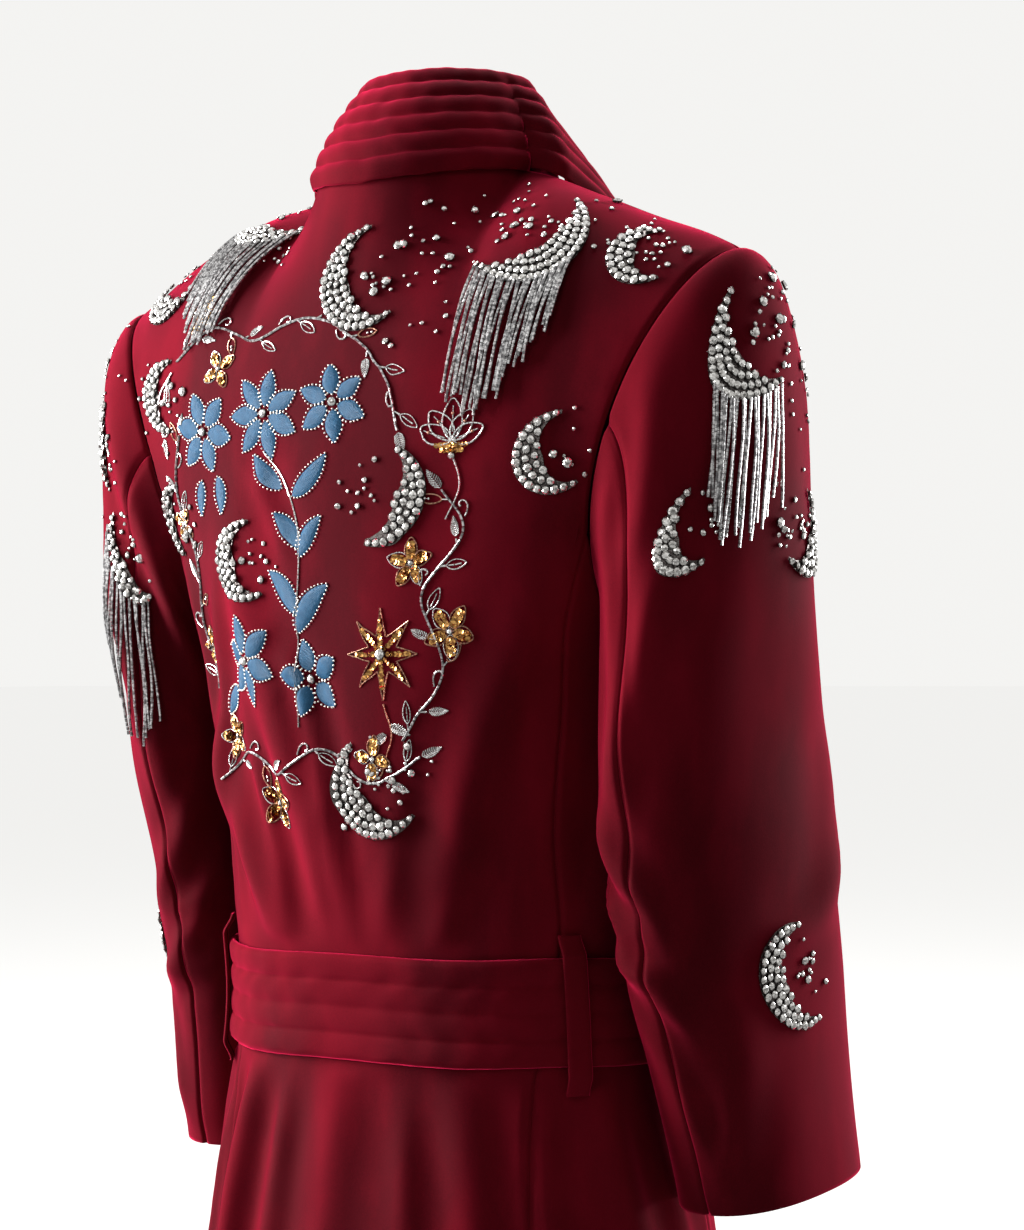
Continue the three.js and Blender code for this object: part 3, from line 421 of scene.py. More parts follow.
def yoke(share, t, front):
    """The panel above the blades: it leaves the row below upwards and meets the shoulder level, or stands at
    the neck."""
    over = 1 if front else -1
    near_neck = 1 - smooth(share / 0.35 if front else (share - 0.08) / 0.45)
    arrival = (0.75, 0.66) if front else (0.25, 0.97)

    def column(s, neck):
        low = torso_row(s, BLADE, front)
        high = shoulder_line(s) if front else back_top(s)
        rise = (low - torso_row(s, BLADE - 4, front)) / 4
        reach = size_of(low - high) * 1.05
        arrive = xyz(0 * s, over * mix(1, arrival[0], neck), mix(0.1, arrival[1], neck))
        return bend(low, rise * reach, high, arrive * reach, t)

    start = armhole_turn(BLADE, front)
    edge = armhole(mix(start, 360 if front else 0, t))
    side = column(np.ones_like(share), 1 - smooth(1 / 0.35 if front else 0.92 / 0.45) + 0 * share)
    return column(share, near_neck) + (edge - side) * (share**4)[..., None]


def left_panel(share, v, front):
    meet = JUNCTION[front][2]
    low = mix(HEM, meet, v / SEAM_ROW)
    high = mix(meet, BLADE, np.clip((v - SEAM_ROW) / (BLADE_ROW - SEAM_ROW), 0, 1))
    below = torso_row(share, np.where(v <= SEAM_ROW, low, high), front)
    above = yoke(share, np.clip((v - BLADE_ROW) / (1 - BLADE_ROW), 0, 1), front)
    return np.where((v > BLADE_ROW)[..., None], above, below)


def carried(point):
    """The left shoulder is carried higher than even and the right lower, a bell between neck and arm."""
    x, z = point[..., 0], point[..., 2]
    along = (np.abs(x) - NECK_POINT[0]) / (SHOULDER[0] - 14 - NECK_POINT[0])
    bell = np.sin(np.clip(along, 0, 1) * np.pi) ** 2
    lift = UNEVEN * np.sign(x) * bell * smooth((z + 150) / 90)
    return point + xyz(0, 0, lift)


def panel_angle(point):
    middle = read(TORSO, "middle", point[..., 2])
    return np.degrees(np.arctan2(point[..., 0], point[..., 1] - middle))


def belt_free(z):
    return 1 - smooth((z - BELT["bottom"] + 14) / 12) * smooth((BELT["top"] + 14 - z) / 12)


def pushed(point, free):
    """The trunk's large folds, outwards from the middle, none under the belt."""
    z = point[..., 2]
    out = unit(xyz(point[..., 0], point[..., 1] - read(TORSO, "middle", z), 0))
    deep = folded(TORSO_FOLDS, panel_angle(point), z, TORSO_RADIUS) * free * belt_free(z)
    return point + out * deep[..., None]


def back(share, v):
    point = left_panel(np.abs(share), v, False) * xyz(np.where(share < 0, -1, 1), 1, 1)
    z = point[..., 2]
    return carried(pushed(point, smooth((1 - np.abs(share)) / 0.25) * smooth((BLADE - z) / 60)))


def front(share, v, side):
    """The right front is set in where the left one lies over it, less so under the belt."""
    point = mirrored(left_panel(share, v, True), side)
    free = smooth((1 - share) / 0.15) * smooth(share / 0.3) * smooth((BLADE - point[..., 2]) / 60)
    point = carried(pushed(point, free))
    if side > 0:
        return point
    x, z = point[..., 0], point[..., 2]
    near = smooth((x - OVERLAP["x"]) / OVERLAP["fade"]) * smooth((OVERLAP["top"] - z) / OVERLAP["below"])
    tight = smooth((OVERLAP["tight_from"] - z) / 40) * smooth((z - OVERLAP["tight_to"]) / 40)
    return point + xyz(0, mix(OVERLAP["set_in"], OVERLAP["under_belt"], tight) * near, 0)


def side_panel(across, v, side):
    """Between the two side seams; its upper third turns to meet the armhole."""
    turn = mix(SIDE_SEAMS["armhole_back"], SIDE_SEAMS["armhole_front"], across)
    top = armhole(turn)

    def plain(z):
        back_z, front_z = np.minimum(z, JUNCTION[False][2]), np.minimum(z, JUNCTION[True][2])
        angle = mix(seam_angle(back_z, False), seam_angle(z, True), across)
        pulls = pulled(back_z, False) * (1 - across)[..., None] + pulled(front_z, True) * across[..., None]
        return ring(angle, z) + pulls

    turned_in = (top - plain(top[..., 2])) * smooth((v - 0.66) / 0.34)[..., None]
    point = plain(mix(HEM, top[..., 2], v)) + turned_in
    free = smooth(across / 0.25) * smooth((1 - across) / 0.25) * smooth((0.9 - v) / 0.2)
    return pushed(mirrored(point, side), free)


def sleeve_ring(turn, z, side):
    c, s = cosd(turn), sind(turn)
    out = np.where(c > 0, read(SLEEVE, "outer", z), read(SLEEVE, "inner", z)) * power(c, ROUNDNESS)
    aft = np.where(s > 0, read(SLEEVE, "back", z), read(SLEEVE, "front", z)) * power(s, ROUNDNESS)
    spin = read(SLEEVE, "turned", z)
    tilt = CUFF_TILT * smooth((BICEP - z) / (BICEP - CUFF))
    return xyz(
        read(SLEEVE, "x", z) + out * cosd(spin) - aft * sind(spin),
        read(SLEEVE, "y", z) - side * read(SLEEVE, "lead", z) + out * sind(spin) + aft * cosd(spin),
        z - tilt * aft,
    )


def sleeve(turn, v, side):
    """From the armhole at v 0 over a full crown to the upper arm, then by its sections to the cuff at 1."""
    turn = np.asarray(turn, float) + 0 * v
    z = mix(BICEP, CUFF, np.clip((v - SLEEVE_CAP) / (1 - SLEEVE_CAP), 0, 1))
    c, s = cosd(turn), sind(turn)
    start, end = armhole(turn), sleeve_ring(turn, BICEP + 0 * turn, side)
    reach = size_of(start - end)
    out = unit(xyz(0.72 + 0.28 * c, 0.3 * s, -0.55 + 0.5 * c)) * reach
    out = out * mix(0.8, 0.52, (1 + c) / 2)[..., None]
    fall = (sleeve_ring(turn, BICEP - 1 + 0 * turn, side) - end) * reach
    cap = bend(start, out, end, fall, np.clip(v / SLEEVE_CAP, 0, 1))
    point = np.where((v < SLEEVE_CAP)[..., None], cap, sleeve_ring(turn, z, side))
    level = np.minimum(point[..., 2], BICEP)
    middle = xyz(read(SLEEVE, "x", level), read(SLEEVE, "y", level), 0)
    outside = 1 - smooth((-c - 0.25) / 0.5)
    free = smooth((v - 0.08) / 0.2) * smooth((1 - v) / 0.08) * outside
    angle = (turn + 180) % 360 - 180
    fold = folded(SLEEVE_FOLDS, angle, point[..., 2], SLEEVE_RADIUS) * free
    away = unit((point - middle) * np.array([1, 1, 0]))
    point = point + away * fold[..., None]
    return mirrored(point + np.array([SLEEVE_GAP, 0, 0]), side)


# Each surface: its shape, which way its faces turn, a step across it, and the finer relief of the cloth.


def drift(a, b):
    """Slow unevenness of hanging cloth: three crossing waves of under a millimetre."""
    waves = 0.5 * np.sin(a / 31 + b / 47) + 0.4 * np.sin(a / 19 - b / 33 + 1.3)
    return waves + 0.25 * np.sin(a / 11 + b / 61 + 4)


def rolled(distance):
    """A seam: the cloth turns in over the last few millimetres."""
    return -1.8 * np.exp(-((distance / 2.4) ** 2))


def torso_relief(point, to_seam):
    z = point[..., 2]
    angle = panel_angle(point)
    free = belt_free(z) * smooth(to_seam / 14)
    fine = creased(TORSO_CREASES, angle, z, TORSO_RADIUS) * free
    pucker = 0.35 * np.sin(z / 4.7) * np.exp(-to_seam / 9) * smooth(to_seam / 4)
    return fine + drift(point[..., 0], z) * free + rolled(to_seam) + pucker


def back_relief(a, v, point):
    return torso_relief(point, (1 - np.abs(a)) * HALF_BACK)


def front_relief(a, v, point):
    return torso_relief(point, (1 - a) * FRONT_WIDTH)


def side_relief(a, v, point):
    """Past its seams the side panel goes on as an allowance that lies inside its neighbours."""
    to_seam = np.minimum(a, 1 - a) * SIDE_WIDTH
    return torso_relief(point, np.maximum(to_seam, 0)) - ALLOWANCE_DEPTH * smooth(-to_seam / 2.5)


def sleeve_relief(side):
    def relief(a, v, point):
        z = point[..., 2]
        turn = (a + 180) % 360 - 180
        here = np.where(turn < -130, turn + 360, turn)
        seams = [np.abs((a - SLEEVE_SEAMS[k] + 180) % 360 - 180) for k in SLEEVE_SEAMS]
        to_seam = np.radians(np.minimum(*seams)) * SLEEVE_RADIUS * 1.1
        free = smooth(v / 0.12) * smooth((1 - v) / 0.04)
        fine = creased(SLEEVE_CREASES[side], here, z, SLEEVE_RADIUS) * free
        edge = rolled((v + 0.002) * SLEEVE_RUN)
        return fine + drift(np.radians(here) * SLEEVE_RADIUS, z) * free + rolled(to_seam) + edge

    return relief


SURFACES = {
    "back": dict(at=back, facing=1, step=0.004, relief=back_relief),
    "front_left": dict(at=lambda a, v: front(a, v, 1), facing=-1, step=0.004, relief=front_relief),
    "front_right": dict(at=lambda a, v: front(a, v, -1), facing=1, step=0.004, relief=front_relief),
    "side_left": dict(at=lambda a, v: side_panel(a, v, 1), facing=1, step=0.004, relief=side_relief),
    "side_right": dict(at=lambda a, v: side_panel(a, v, -1), facing=-1, step=0.004, relief=side_relief),
    "sleeve_left": dict(at=lambda a, v: sleeve(a, v, 1), facing=-1, step=0.4, relief=sleeve_relief(1)),
    "sleeve_right": dict(at=lambda a, v: sleeve(a, v, -1), facing=1, step=0.4, relief=sleeve_relief(-1)),
}


def slopes(surface, a, v):
    at, step = surface["at"], surface["step"]
    across = (at(a + step, v) - at(a - step, v)) / (2 * step)
    high, low = np.minimum(v + 0.004, 1), np.maximum(v - 0.004, 0)
    climb = (at(a, high) - at(a, low)) / (high - low)[..., None]
    return across, climb


def outward(surface, a, v):
    """Out of the cloth: square to the way across it and the way up. Sleeves run downwards, panels upwards."""
    across, climb = slopes(surface, a, v)
    sleeve_like = surface["step"] > 0.1
    rise = -climb if sleeve_like else climb
    return unit(np.cross(rise, across)) * surface["facing"]


def on_cloth(surface, a, v, above=0.0):
    """A point of the finished cloth: the plain surface, moved out by its fine relief and so much above it."""
    a, v = np.broadcast_arrays(np.asarray(a, float), np.asarray(v, float))
    point = surface["at"](a, v)
    lift = surface["relief"](a, v, point) + above
    return point + outward(surface, a, v) * lift[..., None]


def height_share(surface, a, z):
    """The height share at which a surface reaches height z, found by halving."""
    a = np.asarray(a, float)
    low, high = np.zeros(a.shape), np.ones(a.shape)
    rising = surface["at"](a, low + 0.9)[..., 2] > surface["at"](a, low + 0.5)[..., 2]
    for _ in range(22):
        middle = (low + high) / 2
        upper = (surface["at"](a, middle)[..., 2] > z) == rising
        low, high = np.where(upper, low, middle), np.where(upper, middle, high)
    return (low + high) / 2


def walk(surface, a, v, left, up, steps=5):
    """The places reached from a and v by going left, as one looks at the cloth, and up, in millimetres."""
    left, up = np.broadcast_arrays(np.asarray(left, float), np.asarray(up, float))
    a, v = a + 0 * left, v + 0 * left
    for _ in range(steps):
        across, climb = slopes(surface, a, v)
        a = a + left / steps * surface["facing"] / size_of(across)[..., 0]
        v = np.clip(v + up / steps * np.sign(climb[..., 2]) / size_of(climb)[..., 0], 0.004, 0.996)
    return a, v


# Materials


def shader_group(name, inputs, outputs):
    """A node group with the named inputs, given as name to kind and value, and outputs, name to kind."""
    group = bpy.data.node_groups.new(name, "ShaderNodeTree")
    for key, (kind, value) in inputs.items():
        socket = group.interface.new_socket(name=key, in_out="INPUT", socket_type=kind)
        if value is not None:
            socket.default_value = value
    for key, kind in outputs.items():
        group.interface.new_socket(name=key, in_out="OUTPUT", socket_type=kind)
    return group


class Nodes:
    """Adds nodes to a tree and joins them: a socket goes in as a link, anything else as a value."""

    def __init__(self, tree):
        self.tree = tree

    def add(self, kind, inputs=None, **settings):
        node = self.tree.nodes.new(kind)
        for key, value in settings.items():
            setattr(node, key, value)
        for key, value in (inputs or {}).items():
            if isinstance(value, bpy.types.NodeSocket):
                self.tree.links.new(value, node.inputs[key])
            else:
                node.inputs[key].default_value = value
        return node

    def maths(self, operation, a, b=0.0, clamp=False):
        return self.add("ShaderNodeMath", {0: a, 1: b}, operation=operation, use_clamp=clamp).outputs[0]

    def noise(self, vector, scale, detail=2.0, roughness=0.5):
        inputs = {"Vector": vector, "Scale": scale, "Detail": detail, "Roughness": roughness}
        return self.add("ShaderNodeTexNoise", inputs).outputs["Fac"]

    def blend(self, share, a, b, how="MIX"):
        node = self.add("ShaderNodeMix", {0: share}, data_type="RGBA", blend_type=how)
        for socket, value in ((node.inputs[6], a), (node.inputs[7], b)):
            if isinstance(value, bpy.types.NodeSocket):
                self.tree.links.new(value, socket)
            else:
                socket.default_value = value
        return node.outputs[2]

    def spread(self, value, low, high, to_low=0.0, to_high=1.0):
        inputs = {"Value": value, "From Min": low, "From Max": high, "To Min": to_low, "To Max": to_high}
        return self.add("ShaderNodeMapRange", inputs, interpolation_type="SMOOTHSTEP").outputs[0]


def nap_group():
    """Velvet's nap: broad patches and small crush marks of painted sheen, and the pile's fine grain."""
    group = shader_group(
        "velvet nap",
        {
            "Deep": ("NodeSocketColor", (0.1, 0.01, 0.02, 1)),
            "Lit": ("NodeSocketColor", (0.3, 0.02, 0.05, 1)),
        },
        {"Colour": "NodeSocketColor", "Roughness": "NodeSocketFloat", "Height": "NodeSocketFloat"},
    )
    n = Nodes(group)
    ends = n.add("NodeGroupInput")
    where = n.add("ShaderNodeTexCoord").outputs["Object"]
    stretched = n.add("ShaderNodeMapping", {"Vector": where, "Scale": (1.0, 1.0, 0.45)}).outputs[0]
    patches = n.noise(stretched, 11.0, 2.0, 0.45)
    marks = n.noise(stretched, 42.0, 3.0, 0.5)
    grain = n.noise(where, 900.0, 2.0, 0.6)
    pile = n.noise(where, 2600.0, 1.0, 0.5)
    # Painted sheen: random broad patches and crush marks lighten the colour; the grain added below is random
    # tone.
    painted_crush_sheen = n.maths("MULTIPLY", n.spread(marks, 0.42, 0.72), 0.35)
    broad = n.maths("ADD", n.spread(patches, 0.36, 0.66), painted_crush_sheen)
    painted_sheen_patches = n.maths("MULTIPLY", broad, 0.55, clamp=True)
    fine = n.maths("ADD", painted_sheen_patches, n.maths("MULTIPLY", n.maths("SUBTRACT", grain, 0.5), 0.45), clamp=True)
    colour = n.blend(fine, ends.outputs["Deep"], ends.outputs["Lit"])
    rough = n.spread(patches, 0.3, 0.7, 0.72, 0.86)
    height = n.maths("ADD", n.maths("MULTIPLY", grain, 0.6), n.maths("MULTIPLY", pile, 0.4))
    inputs = {"Colour": colour, "Roughness": rough, "Height": height}
    n.add("NodeGroupOutput", inputs)
    return group


NAP = nap_group()


def principled(name, **values):
    """A material with its shader's plain values set, its node builder, and the shader."""
    material = bpy.data.materials.new(name)
    material.use_nodes = True
    shader = material.node_tree.nodes["Principled BSDF"]
    for key, value in values.items():
        shader.inputs[key.replace("_", " ")].default_value = value
    return material, Nodes(material.node_tree), shader


def velvet(name, deep, lit):
    """Silk velvet: a dark ground, a strong tinted sheen where it turns away, and the nap's painted sheen
    patches.
    """
    values = {"Specular_IOR_Level": 0.03, "Sheen_Weight": 1.0, "Sheen_Roughness": 0.34}
    material, n, shader = principled(name, Sheen_Tint=(1.0, 0.025, 0.11, 1), **values)
    nap = n.add("ShaderNodeGroup", {"Deep": deep, "Lit": lit}, node_tree=NAP)
    links = material.node_tree.links
    links.new(nap.outputs["Colour"], shader.inputs["Base Color"])
    links.new(nap.outputs["Roughness"], shader.inputs["Roughness"])
    bump = n.add("ShaderNodeBump", {"Strength": 0.25, "Distance": 0.0004, "Height": nap.outputs["Height"]})
    links.new(bump.outputs["Normal"], shader.inputs["Normal"])
    return material


def crystal():
    """Cut stones: bright clear glass on silver foil, with grey and warm white facets of painted reflection."""
    material, n, shader = principled("cut crystal", Metallic=0.75, Roughness=0.08, Coat_Weight=1.0, IOR=1.6)
    where = n.add("ShaderNodeTexCoord").outputs["Object"]
    # Painted reflection: random cells about a facet wide, grey to warm white, as lit and dark facets.
    facets = n.add("ShaderNodeTexVoronoi", {"Vector": where, "Scale": 700.0}).outputs["Color"]
    bright = n.add("ShaderNodeSeparateColor", {"Color": facets}).outputs[0]
    colour = n.blend(n.spread(bright, 0.15, 0.75), (0.5, 0.48, 0.46, 1), (1.0, 0.99, 0.96, 1))
    material.node_tree.links.new(colour, shader.inputs["Base Color"])
    return material


def metal(name, dark, light, roughness, scale=1500.0, coat=0.0):
    """Small metal or mirrored-glass work: its colour changes from bead to bead."""
    material, n, shader = principled(name, Metallic=0.9, Roughness=roughness, Coat_Weight=coat)
    where = n.add("ShaderNodeTexCoord").outputs["Object"]
    tone = n.spread(n.noise(where, scale, 1.0), 0.35, 0.65)
    material.node_tree.links.new(n.blend(tone, dark, light), shader.inputs["Base Color"])
    return material


def satin(name, dark, light):
    """Satin stitch: close threads that run across the motif, a painted highlight along their crowns."""
    material, n, shader = principled(name, Roughness=0.5, Specular_IOR_Level=0.25)
    uv = n.add("ShaderNodeTexCoord").outputs["UV"]
    split = n.add("ShaderNodeSeparateXYZ", {"Vector": uv})
    wander = n.maths("MULTIPLY", n.noise(uv, 4.0, 2.0), 0.1)
    along = n.maths("MULTIPLY", n.maths("ADD", split.outputs[0], wander), 70.0)
    crown_relief_and_highlight = n.maths("MULTIPLY", n.maths("ADD", n.maths("SINE", along), 1.0), 0.5)
    patch = n.maths("MULTIPLY", n.noise(uv, 1.6, 2.0), 0.7)
    # The threads' crowns are a painted highlight; the patches are random tone.
    tone = n.maths("ADD", n.maths("MULTIPLY", crown_relief_and_highlight, 0.45), patch, clamp=True)
    links = material.node_tree.links
    links.new(n.blend(tone, dark, light), shader.inputs["Base Color"])
    bump = n.add("ShaderNodeBump", {"Strength": 0.8, "Distance": 0.0003, "Height": crown_relief_and_highlight})
    links.new(bump.outputs["Normal"], shader.inputs["Normal"])
    return material


# Each velvet's deep and lit colours: the nap blends them in patches of painted sheen.
VELVET = velvet("red velvet", (0.065, 0.0016, 0.005, 1), (0.185, 0.004, 0.013, 1))
LINING = velvet("velvet inside", (0.05, 0.004, 0.008, 1), (0.10, 0.006, 0.014, 1))
CRYSTAL = crystal()
PRONGS = metal("dark setting", (0.05, 0.035, 0.035, 1), (0.22, 0.2, 0.19, 1), 0.35)
BUGLE = metal("silver bugle beads", (0.16, 0.155, 0.16, 1), (0.72, 0.71, 0.71, 1), 0.3, 420.0, 0.3)
SILVER_SEED = metal("silver seed beads", (0.5, 0.48, 0.48, 1), (0.95, 0.93, 0.92, 1), 0.25, 900.0, 0.6)
COPPER_SEED = metal("copper seed beads", (0.22, 0.08, 0.05, 1), (0.62, 0.33, 0.22, 1), 0.3, 900.0, 0.5)
GOLD_SEQUIN = metal("gold sequins", (0.3, 0.11, 0.02, 1), (0.78, 0.42, 0.12, 1), 0.18, 500.0, 0.4)
PEARL = metal("pearl beads", (0.75, 0.7, 0.64, 1), (0.95, 0.92, 0.86, 1), 0.3, 900.0, 0.8)
BLUE_SATIN = satin("blue satin stitch", (0.004, 0.035, 0.085, 1), (0.016, 0.12, 0.25, 1))


# Meshes


def mesh_object(name, parts, smooth=True):
    """One mesh from parts: each has points in millimetres, faces of three or four corners, a material and, if
    it needs them, a texture place for each of its points."""
    mesh = bpy.data.meshes.new(name)
    points, corners, starts, looks, uv, first, loops = [], [], [], [], [], 0, 0
    for k, part in enumerate(parts):
        faces = np.asarray(part["faces"])
        points.append(part["points"])
        corners.append((faces + first).ravel())
        starts.append(loops + np.arange(len(faces)) * faces.shape[1])
        looks.append(np.full(len(faces), k))
        uv.append(part.get("uv", np.zeros((len(part["points"]), 2)))[faces.ravel()])
        first += len(part["points"])
        loops += faces.size
        mesh.materials.append(part["look"])
    corners = np.concatenate(corners).astype(np.int32)
    mesh.vertices.add(first)
    mesh.vertices.foreach_set("co", (np.concatenate(points) * MM).astype(np.float32).ravel())
    mesh.loops.add(loops)
    mesh.loops.foreach_set("vertex_index", corners)
    mesh.polygons.add(sum(len(s) for s in starts))
    mesh.polygons.foreach_set("loop_start", np.concatenate(starts).astype(np.int32))
    mesh.polygons.foreach_set("material_index", np.concatenate(looks).astype(np.int32))
    mesh.polygons.foreach_set("use_smooth", np.full(len(mesh.polygons), smooth))
    layer = mesh.uv_layers.new(name="UVMap")
    layer.data.foreach_set("uv", np.concatenate(uv).astype(np.float32).ravel())
    mesh.update(calc_edges=True)
    piece = bpy.data.objects.new(name, mesh)
    bpy.context.scene.collection.objects.link(piece)
    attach(piece, "root")
    return piece


def mesh_part(points, faces, look, uv=None):
    return dict(points=points, faces=faces, look=look) | ({} if uv is None else dict(uv=uv))


def grid_faces(rows, columns):
    """Quads of a grid of points, rows by columns."""
    i, j = grid_of(np.arange(rows - 1), np.arange(columns - 1))
    a = i * columns + j
    return np.stack([a, a + 1, a + columns + 1, a + columns], -1).reshape(-1, 4)


def crowded(count, ends=0.7):
    """Shares from 0 to 1 that lie closer together near both ends, where the seams are."""
    t = np.linspace(0, 1, count)
    return t - ends * np.sin(2 * np.pi * t) / (2 * np.pi)


# The pieces of cloth


def cloth_piece(name, node, grid, out, thick=1.5):
    """One cut piece as a thin shell: a grid of points on its outer face, with its thickness added inwards."""
    rows, columns = grid.shape[:2]
    points = grid.reshape(-1, 3)
    faces = grid_faces(rows, columns)
    p = points[faces]
    facing = np.cross(p[:, 1] - p[:, 0], p[:, 2] - p[:, 0])
    if np.sum(facing * out.reshape(-1, 3)[faces[:, 0]]) < 0:
        faces = faces[:, ::-1]
    v, u = grid_of(np.linspace(0, 1, rows), np.linspace(0, 1, columns))
    uv = np.stack([u.ravel(), v.ravel()], -1)
    piece = mesh_object(name, [mesh_part(points, faces, VELVET, uv)])
    piece.data.materials.append(LINING)
    wall = piece.modifiers.new("thickness", "SOLIDIFY")
    wall.thickness = thick * MM
    wall.offset = -1
    wall.material_offset = 1
    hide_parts(node)
    return piece


def panel(name, surface_name, a, v):
    """A panel of the jacket on its surface, sampled at every a and v."""
    surface = SURFACES[surface_name]
    v_grid, a_grid = grid_of(v, a)
    grid = on_cloth(surface, a_grid, v_grid)
    return cloth_piece(name + "_cloth", name, grid, outward(surface, a_grid, v_grid))


panel("back", "back", mix(-1, 1, crowded(140)), np.linspace(0, 1, 270))
for side_name in ("left", "right"):
    panel("front_" + side_name, "front_" + side_name, crowded(64, 0.5), np.linspace(0, 1, 200))
    over_seams = mix(-ALLOWANCE, 1 + ALLOWANCE, crowded(60, 0.3))
    panel("side_" + side_name, "side_" + side_name, over_seams, np.linspace(0, 1, 130))
    arm = "sleeve_" + side_name
    fore, hind = SLEEVE_SEAMS["front"] - 360, SLEEVE_SEAMS["back"]
    rows = crowded(150, 0.25)
    panel("sleeve_upper_" + side_name, arm, mix(fore, hind, crowded(84)), rows)
    panel("sleeve_under_" + side_name, arm, mix(hind, fore + 360, crowded(44)), rows)


# The collar, its stand, the belt and its loops


def quilted(across, along, bands, padding, puckers):
    """Padded rows between stitch lines: a steep-sided roll, pinched along the stitches by small puckers."""
    row = np.abs(np.sin(across * bands * np.pi))
    pucker = np.sin(along * puckers + 2 * np.sin(across * 9)) * np.sin(along * puckers * 0.37 + across * 5)
    return padding * row**0.55 + 0.32 * pucker * (1 - row**2) + 0.2 * pucker


def lapel_height(at, side):
    """The height share on the front that the collar has reached, past the neck point on its way down."""
    return mix(1, LAPEL_END[side], np.clip((at - NECK_TURN) / (1 - NECK_TURN), 0, 1))


def neck_seam(at, side):
    round_neck = back(np.clip(at / NECK_TURN, 0, 1) * NECK_SHARE * side, np.ones_like(at))
    down_front = front(np.zeros_like(at), lapel_height(at, side), side)
    return np.where((at < NECK_TURN)[..., None], round_neck, down_front)


def collar_read(column, at):
    return read(COLLAR_SECTIONS, column, at, "at")


def roll_line(at, side):
    set_in = xyz(-side * collar_read("inward", at), -collar_read("forward", at), collar_read("up", at))
    return neck_seam(at, side) + set_in


def free_edge(at, side):
    """The collar's free edge on the cloth: near the back's upper edge, then the lapel's width in from the
    front's edge. Returns points and facing."""
    t = np.clip(at / NECK_TURN, 0, 1)
    share = t * (NECK_SHARE + COLLAR["on_shoulder"] * (1 - NECK_SHARE)) * side
    height = 1 - COLLAR["below_nape"] * (1 - t)
    on_back = SURFACES["back"]
    back_out = outward(on_back, share, height)
    v = lapel_height(at, side)
    on_front = SURFACES["front_left" if side > 0 else "front_right"]
    wide = size_of(front(np.zeros_like(v), v, side) - front(np.ones_like(v), v, side))[..., 0]
    lapel = np.clip(collar_read("width", at) / wide, 0.01, 1)
    front_out = outward(on_front, lapel, v)
    behind = (at < NECK_TURN)[..., None]
    out = np.where(behind, back_out, front_out)
    place = np.where(behind, on_back["at"](share, height), on_front["at"](lapel, v))
    return place + out * COLLAR["above"], out


def collar_point(across, along):
    """Straight from the roll line to the free edge, bulged outwards by a parabola. Returns points and
    facing."""
    shape = np.broadcast(across, along).shape
    across, along = np.broadcast_to(across, shape), np.broadcast_to(along, shape)
    points, facing = np.zeros(shape + (3,)), np.zeros(shape + (3,))
    for side in (1, -1):
        here = along >= 0 if side > 0 else along < 0
        at = np.abs(along[here])
        roll = roll_line(at, side)
        free, lies = free_edge(at, side)
        near = at > 0.01
        other = roll_line(np.where(near, at - 0.01, at + 0.01), side)
        run = np.where(near[..., None], roll - other, other - roll)
        out = unit(np.cross(run, free - roll))
        out = out * np.where(np.sum(out * lies, -1) < 0, -1, 1)[..., None]
        w = across[here]
        bulge = collar_read("bulge", at) * 4 * w * (1 - w)
        points[here] = mix(roll, free, w[..., None]) + out * bulge[..., None]
        facing[here] = out
    return points, facing


def make_collar():
    w_grid, along = grid_of(crowded(74, 0.2), np.linspace(1, -1, 300))
    points, out = collar_point(w_grid, along)
    lift = quilted(w_grid, along, **COLLAR_QUILTING)
    tuck = COLLAR["tuck"] * np.exp(-(((w_grid - 1) / 0.05) ** 2))
    tuck = tuck + COLLAR["roll_tuck"] * np.exp(-((w_grid / 0.03) ** 2))
    grid = points + out * (lift - tuck)[..., None]
    return cloth_piece("collar_cloth", "collar", grid, out, 2.2)


def make_stand():
    along_seam = np.linspace(STAND["reach"], -STAND["reach"], 120)
    w_grid, along = grid_of(np.linspace(0, 1, 20), along_seam)
    grid, out = np.zeros(w_grid.shape + (3,)), np.zeros(w_grid.shape + (3,))
    for side in (1, -1):
        here = along >= 0 if side > 0 else along < 0
        at = np.abs(along[here])
        foot, head = neck_seam(at, side), roll_line(at, side)
        reach = size_of(head - foot)[..., 0]
        w = w_grid[here]
        height = mix(STAND["clear"], reach - STAND["below_roll"], w)
        point = mix(foot, head, (height / reach)[..., None])
        inwards = unit(xyz(-point[..., 0], STAND["middle"] - point[..., 1], 0))
        grid[here] = point + inwards * (STAND["inside"] * smooth(w * 1.5))[..., None]
        out[here] = inwards
    return cloth_piece("stand_cloth", "collar_stand", grid, out, 1.6)


def make_belt():
    """Once round the waist and over its own end, in four quilted bands; its edges are rolled."""
    w_grid, u = grid_of(crowded(46, 0.1), np.linspace(0, 1, 420))
    angle = BELT["start"] + BELT["turn"] * u
    step = BELT["wall"] + BELT["quilt"] + 1
    base = BELT["clear"] + BELT["wall"] + step * smooth((angle - BELT["lap"]) / BELT["over"])
    lift = quilted(w_grid, u, **BELT_QUILTING)
    edge = 1.5 * np.exp(-(((1 - w_grid) / 0.03) ** 2)) + 1.5 * np.exp(-((w_grid / 0.03) ** 2))
    sway = 1.2 * np.sin(angle / 23) + 0.8 * np.sin(angle / 9.5 + 1)
    height = mix(BELT["bottom"], BELT["top"], w_grid) + sway
    grid = ring(angle, height, base + lift - edge + 0.5 * np.sin(angle / 7.3))
    out = unit(ring(angle, height, 10) - ring(angle, height, 0))
    return cloth_piece("belt_cloth", "belt", grid, out, 2.2)


